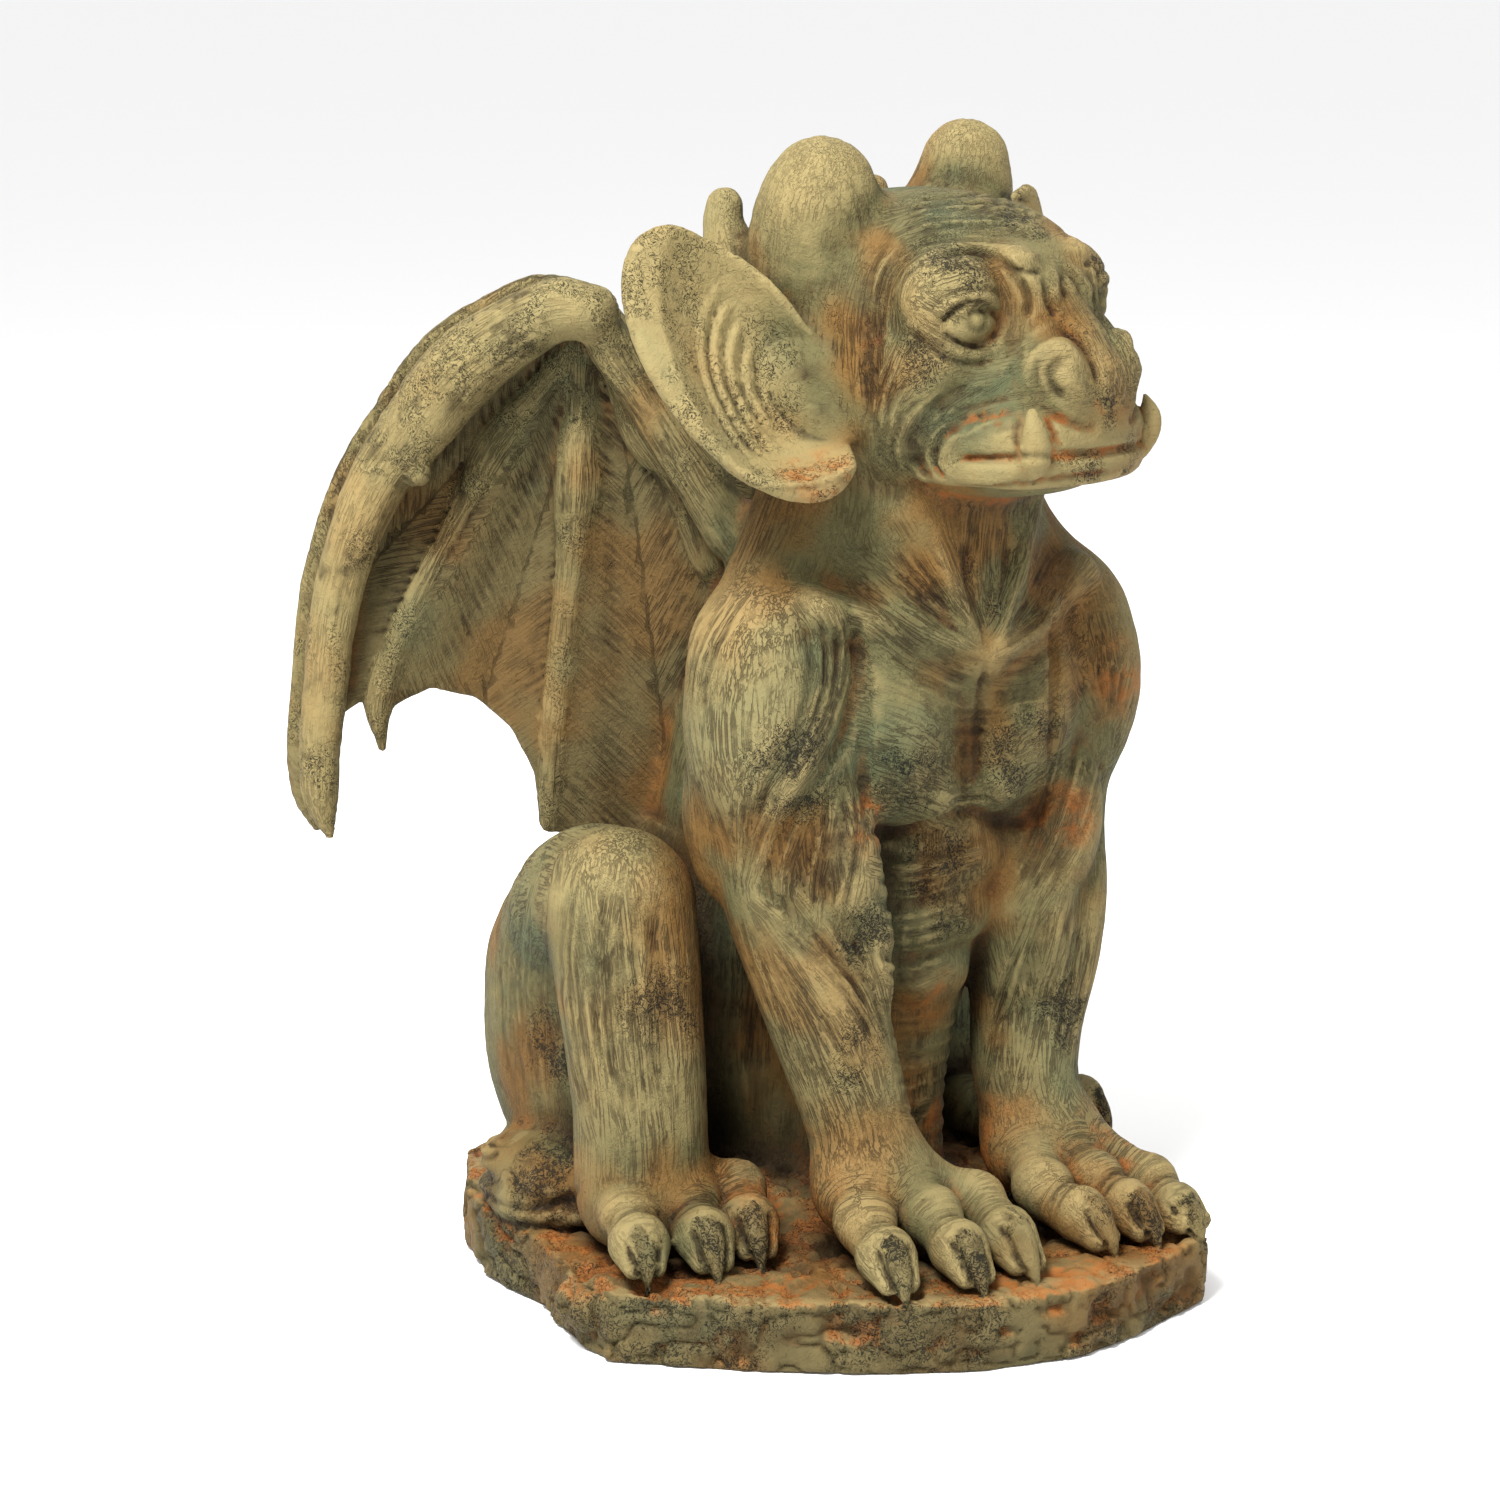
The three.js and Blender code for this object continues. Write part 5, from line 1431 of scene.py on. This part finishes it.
def stone_finish():
    """Cast stone with an aged coat: sage and tan over it, rust in the hollows, dark wash in the grooves and hollows,
    painted shade in the hollows, recesses and creases, and painted highlights on bulges and ridges.
    """
    finish = Finish("aged_cast_stone")
    place = finish.scaled(finish.node("ShaderNodeTexCoord").outputs["Object"], (1000, 1000, 1000))
    flow = finish.attribute("flow").outputs["Vector"]
    crease, recess, hollow = finish.channels("marks")
    strand, crackle, rust = finish.channels("wear")
    on_base, tone, groove = finish.channels("parts")

    # Broad soft patches of colour, and a little mottling
    patch = finish.noise(place, 0.016, 2.0, 0.5)
    mottle = finish.noise(place, 0.075, 3.0, 0.6)
    paint = finish.blend(finish.ramp(patch, 0.47, 0.62, 0, 0.85), SAGE, TAN)
    paint = finish.blend(finish.ramp(patch, 0.44, 0.32, 0, 0.75), paint, TEAL)
    paint = finish.blend(finish.ramp(tone, 0.5, 0, 0, 0.8), paint, BROWN)
    paint = finish.blend(finish.ramp(tone, 0.5, 1, 0, 0.8), paint, PALE)
    paint = finish.blend(finish.ramp(mottle, 0.5, 0.3, 0, 0.4), paint, BROWN)
    # Painted highlight: paler on bulges, where the surface stands out, less on browner parts
    high = finish.times(finish.ramp(hollow, 0.46, 0.28), finish.ramp(tone, 0.25, 0.5, 0.1, 0.6))
    paint = finish.blend(high, paint, PALE)

    # Rust at the edges of the hollows, and dark wash in the hollows that also paints their shade
    stained = finish.ramp(mottle, 0.4, 0.66, 0.15, 1)
    deep = finish.math("ADD", finish.ramp(recess, 0.53, 0.66, 0, 0.4), finish.times(rust, 0.9))
    deep = finish.math("MINIMUM", finish.times(deep, stained), 0.8)
    paint = finish.blend(deep, paint, RUST)
    # Dark wash and painted shade: darker deep in the hollows
    paint = finish.blend(finish.ramp(hollow, 0.52, 0.72, 0, 0.85), paint, UMBER)
    off_base = finish.math("MULTIPLY_ADD", on_base, -0.65, 1.0)
    # Painted shade: darker in recesses, less on the base
    paint = finish.blend(finish.times(finish.ramp(recess, 0.54, 0.74, 0, 0.45), off_base), paint, UMBER)

    # Fine strands, clearer in some places than in others
    hair = finish.noise(finish.scaled(flow, (0.38, 0.38, 0.022)), 1.0, 3.0, 0.6)
    combed = finish.times(strand, finish.ramp(mottle, 0.66, 0.42, 0.2, 1))
    line = finish.times(finish.ramp(finish.math("ABSOLUTE", finish.math("SUBTRACT", hair, 0.5)), 0.0, 0.07, 1, 0), combed)
    paint = finish.blend(finish.times(line, 0.62), paint, UMBER)
    paint = finish.blend(finish.times(groove, 0.75), paint, UMBER)
    unrusted = finish.ramp(rust, 0, 1, 1, 0.35)
    # Painted shade: darker in creases, less on the base and where rusted
    paint = finish.blend(finish.times(finish.ramp(crease, 0.54, 0.68, 0, 0.6), off_base, unrusted), paint, UMBER)
    # Painted highlight: paler on ridges and sharp edges, less on the base
    paint = finish.blend(finish.times(finish.ramp(crease, 0.48, 0.4, 0, 0.25), off_base), paint, PALE)

    # Crackle: dark crooked lines and pits between small plates
    crooked = finish.noise(place, 0.3, 3.0, 0.65, 1.2)
    broken = finish.math("ABSOLUTE", finish.math("SUBTRACT", crooked, 0.5))
    spread = finish.times(crackle, finish.ramp(mottle, 0.4, 0.56, 0.15, 1))
    cracked = finish.ramp(finish.math("SUBTRACT", broken, finish.times(spread, 0.05)), 0.012, -0.004)
    cracked = finish.times(cracked, finish.ramp(spread, 0, 0.2))
    pits = finish.times(finish.ramp(crooked, 0.64, 0.7), finish.ramp(crackle, 0, 0.5, 0.4, 1))
    dark = finish.math("MAXIMUM", cracked, pits)
    sooty = finish.times(finish.ramp(crackle, 0.5, 1, 0, 0.35), finish.ramp(mottle, 0.42, 0.55))
    paint = finish.blend(sooty, paint, SOOT)
    paint = finish.blend(finish.times(dark, 0.85), paint, SOOT)

    shader = finish.shader
    finish.set(shader.inputs["Base Color"], paint)
    finish.set(shader.inputs["Roughness"], finish.ramp(crooked, 0.3, 0.7, 0.62, 0.85))
    shader.inputs["Specular IOR Level"].default_value = 0.12
    # Height, in millimetres
    height = finish.math("MULTIPLY_ADD", line, -0.6, finish.times(crooked, 0.9))
    height = finish.math("MULTIPLY_ADD", dark, -0.6, height)
    finish.set(shader.inputs["Normal"], finish.bump(height, MM))
    return finish.material


# Crackled places: centre and radius
CRACKLED = [
    ([-40, -112, 262], 30), ([30, -112, 262], 30), ([-12, -96, 212], 26), ([0, -90, 184], 16),
    ([-100, -98, 272], 34), ([-66, -104, 190], 22), ([-70, -108, 130], 26), ([-132, -32, 150], 30),
    ([-150, 30, 120], 26), ([-12, -92, 352], 24), ([8, -100, 336], 18), ([60, -108, 130], 24),
    (head(-58, 48, 0), 18), (head(-62, 48, -8), 13), (head(-48, 56, 34), 22), (head(60, 50, 0), 16),
    (head(48, 56, 34), 22), (head(-20, 98, -54), 20), (head(20, 104, -54), 20), (head(0, 60, 56), 16),
    (head(-6, 108, -26), 12),
]
# Places with more rust
RUSTED = [
    ([0, -60, 34], 90), ([-60, -60, 36], 80), ([70, -110, 40], 60), ([-62, -100, 240], 20), ([96, -90, 290], 26),
    ([60, -96, 226], 26), ([0, -70, 150], 24), (head(-20, 104, -46), 22), (head(-68, 22, 8), 10),
    (head(-98, 18, -56), 26), (head(98, 18, -56), 26),
]


def blobs(points, places):
    """How much each point is in one of several soft round places."""
    total = np.zeros(len(points))
    for centre, radius in places:
        away = np.linalg.norm(points - centre, axis=1)
        total = np.maximum(total, 1 - ease(away, radius * 0.4, radius))
    return total


def paint_marks(piece):
    """Keeps on the mesh what the finish needs: the strands' flow, the hollows and the worn places."""
    mesh = piece.data
    count = len(mesh.vertices)
    points = np.empty(count * 3, np.float32)
    mesh.vertices.foreach_get("co", points)
    points = points.reshape(-1, 3) / MM + MIDDLE
    corners = np.empty(len(mesh.loops), np.int32)
    mesh.loops.foreach_get("vertex_index", corners)
    triangles = corners.reshape(-1, 3)
    across = np.cross(points[triangles[:, 1]] - points[triangles[:, 0]], points[triangles[:, 2]] - points[triangles[:, 0]])
    face_normals = across / np.maximum(np.linalg.norm(across, axis=1), 1e-9)[:, None]

    # One guide leads the strands of a whole face
    centres = points[triangles].mean(1)
    place = kind_at(centres, face_normals)
    leaders = leader_of(centres, place)
    flow = np.empty((len(triangles), 3, 3))
    for corner in range(3):
        flow[:, corner] = flow_by(points[triangles[:, corner]], place, leaders)
    attribute = mesh.attributes.new("flow", "FLOAT_VECTOR", "CORNER")
    attribute.data.foreach_set("vector", flow.astype(np.float32).ravel())

    coarse = clay[::2, ::2, ::2]
    crease = sampled(blurred(soft_solid(clay, CELL), 1), CELL, points)
    recess = sampled(blurred(soft_solid(coarse, 2 * CELL), 2), 2 * CELL, points)
    hollow = sampled(blurred(soft_solid(coarse, 2 * CELL), 8), 2 * CELL, points)
    keep_colour(mesh, "marks", [crease, recess, hollow])

    vertex_place = np.zeros(count, int)
    vertex_place[triangles.ravel()] = np.repeat(place, 3)
    patchy = ease(noise(points / 38 + 9), 0.25, 0.7)
    strand = by_kind(STRAND_SHOW, vertex_place) * lerp(0.45, 1, patchy)
    worn = by_kind(CRACKLE_SHOW, vertex_place) * ease(noise(points / 22 + 30), 0.3, 0.55)
    crackle = np.maximum(worn, blobs(points, CRACKLED) * ease(noise(points / 12 + 70), 0.2, 0.5))
    level = np.bincount(triangles.ravel(), np.repeat(face_normals[:, 2], 3), count) / np.bincount(triangles.ravel(), minlength=count)
    rust = blobs(points, RUSTED) * by_kind({"base": 1, "body": 0.9, "claw": 0.5, "face": 0.7, "ear": 0.9}, vertex_place)
    in_mouth = by_kind({"lip": 1}, vertex_place) * ease(crease, 0.5, 0.56)
    rust = np.maximum(rust, in_mouth)
    on_base = by_kind({"base": 1}, vertex_place)
    ground = on_base * ease(level, 0.4, 0.8)
    rust = np.maximum(rust, ground)
    crackle = crackle * (1 - 0.6 * ground)
    keep_colour(mesh, "wear", [strand, crackle, rust])
    tone = lerp(by_kind({kind: TONE.get(kind, 0.5) for kind in KINDS}, vertex_place), 0.5, 0.8 * ground)
    keep_colour(mesh, "parts", [on_base, tone, sampled(ink, CELL, points) / 255])


STRAND_SHOW = {
    "body": 1, "horn": 0.5, "membrane": 0.9, "bone": 0.9, "front": 0.6, "face": 1, "toad": 0.3, "claw": 0.4,
    "lip": 0.2,
}
CRACKLE_SHOW = {
    "ear": 0.35, "base": 0.6, "toad": 0.9, "horn": 0.12, "bone": 0.3, "front": 0.4, "face": 0.15, "claw": 1,
    "body": 0.08,
}
# Paler places are above a half, browner ones below
TONE = {
    "ear": 0.52, "front": 0.54, "eye": 0.53, "tusk": 0.42, "lip": 0.42, "face": 0.47, "membrane": 0.22, "bone": 0.36, "claw": 0.28,
    "base": 0.22, "toad": 0.36,
}


def keep_colour(mesh, name, channels):
    attribute = mesh.attributes.new(name, "FLOAT_COLOR", "POINT")
    values = np.ones((len(mesh.vertices), 4), np.float32)
    values[:, :3] = np.stack(channels, 1)
    attribute.data.foreach_set("color", values.ravel())


def leader_of(points, place):
    """The number of the guide that leads at each point, or -1."""
    nearest = np.full(len(points), np.inf)
    leader = np.full(len(points), -1)
    for number, (kind, run, turn) in enumerate(guides):
        chosen = in_reach(points, place, kind, run)
        away, _ = beside_guide(run, turn, points[chosen])
        best = away < nearest[chosen]
        leader[chosen[best]] = number
        nearest[chosen[best]] = away[best]
    return leader


def in_reach(points, place, kind, run):
    reach = run[:, 3].max() + GUIDE_REACH
    low, high = run[:, :3].min(0) - reach, run[:, :3].max(0) + reach
    return np.flatnonzero((place == KINDS.index(kind)) & ((points > low) & (points < high)).all(1))


def flow_by(points, place, leaders):
    """Each point's place across and along the strands of the guide that leads it."""
    flow = points.copy()
    for number, (_, run, turn) in enumerate(guides):
        led = np.flatnonzero(leaders == number)
        if len(led):
            _, local = beside_guide(run, turn, points[led])
            flow[led] = local + [number * 11.7, number * 5.3, 0]
    wing = place == KINDS.index("membrane")
    flow[wing] = beside_vein(points[wing])
    return flow


def build_gargoyle():
    sculpt()
    points, faces = surface()
    normals = normals_of(points, faces)
    place = kind_at(points, normals)
    flow, clear = flow_at(points, place)
    height = relief(points, place, flow, clear)
    height *= ease(points[:, 2], 0, 3)
    points += normals * height[:, None]
    piece = make_mesh("gargoyle", points, faces)
    thin(piece, care_of(points, normals))
    piece.data.shade_smooth()
    paint_marks(piece)
    piece.data.materials.append(stone_finish())
    return piece


build_camera()
build_studio()
build_floor()
piece = build_gargoyle()
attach(piece, "root")
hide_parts(NODE)

print("triangles", len(piece.data.polygons))
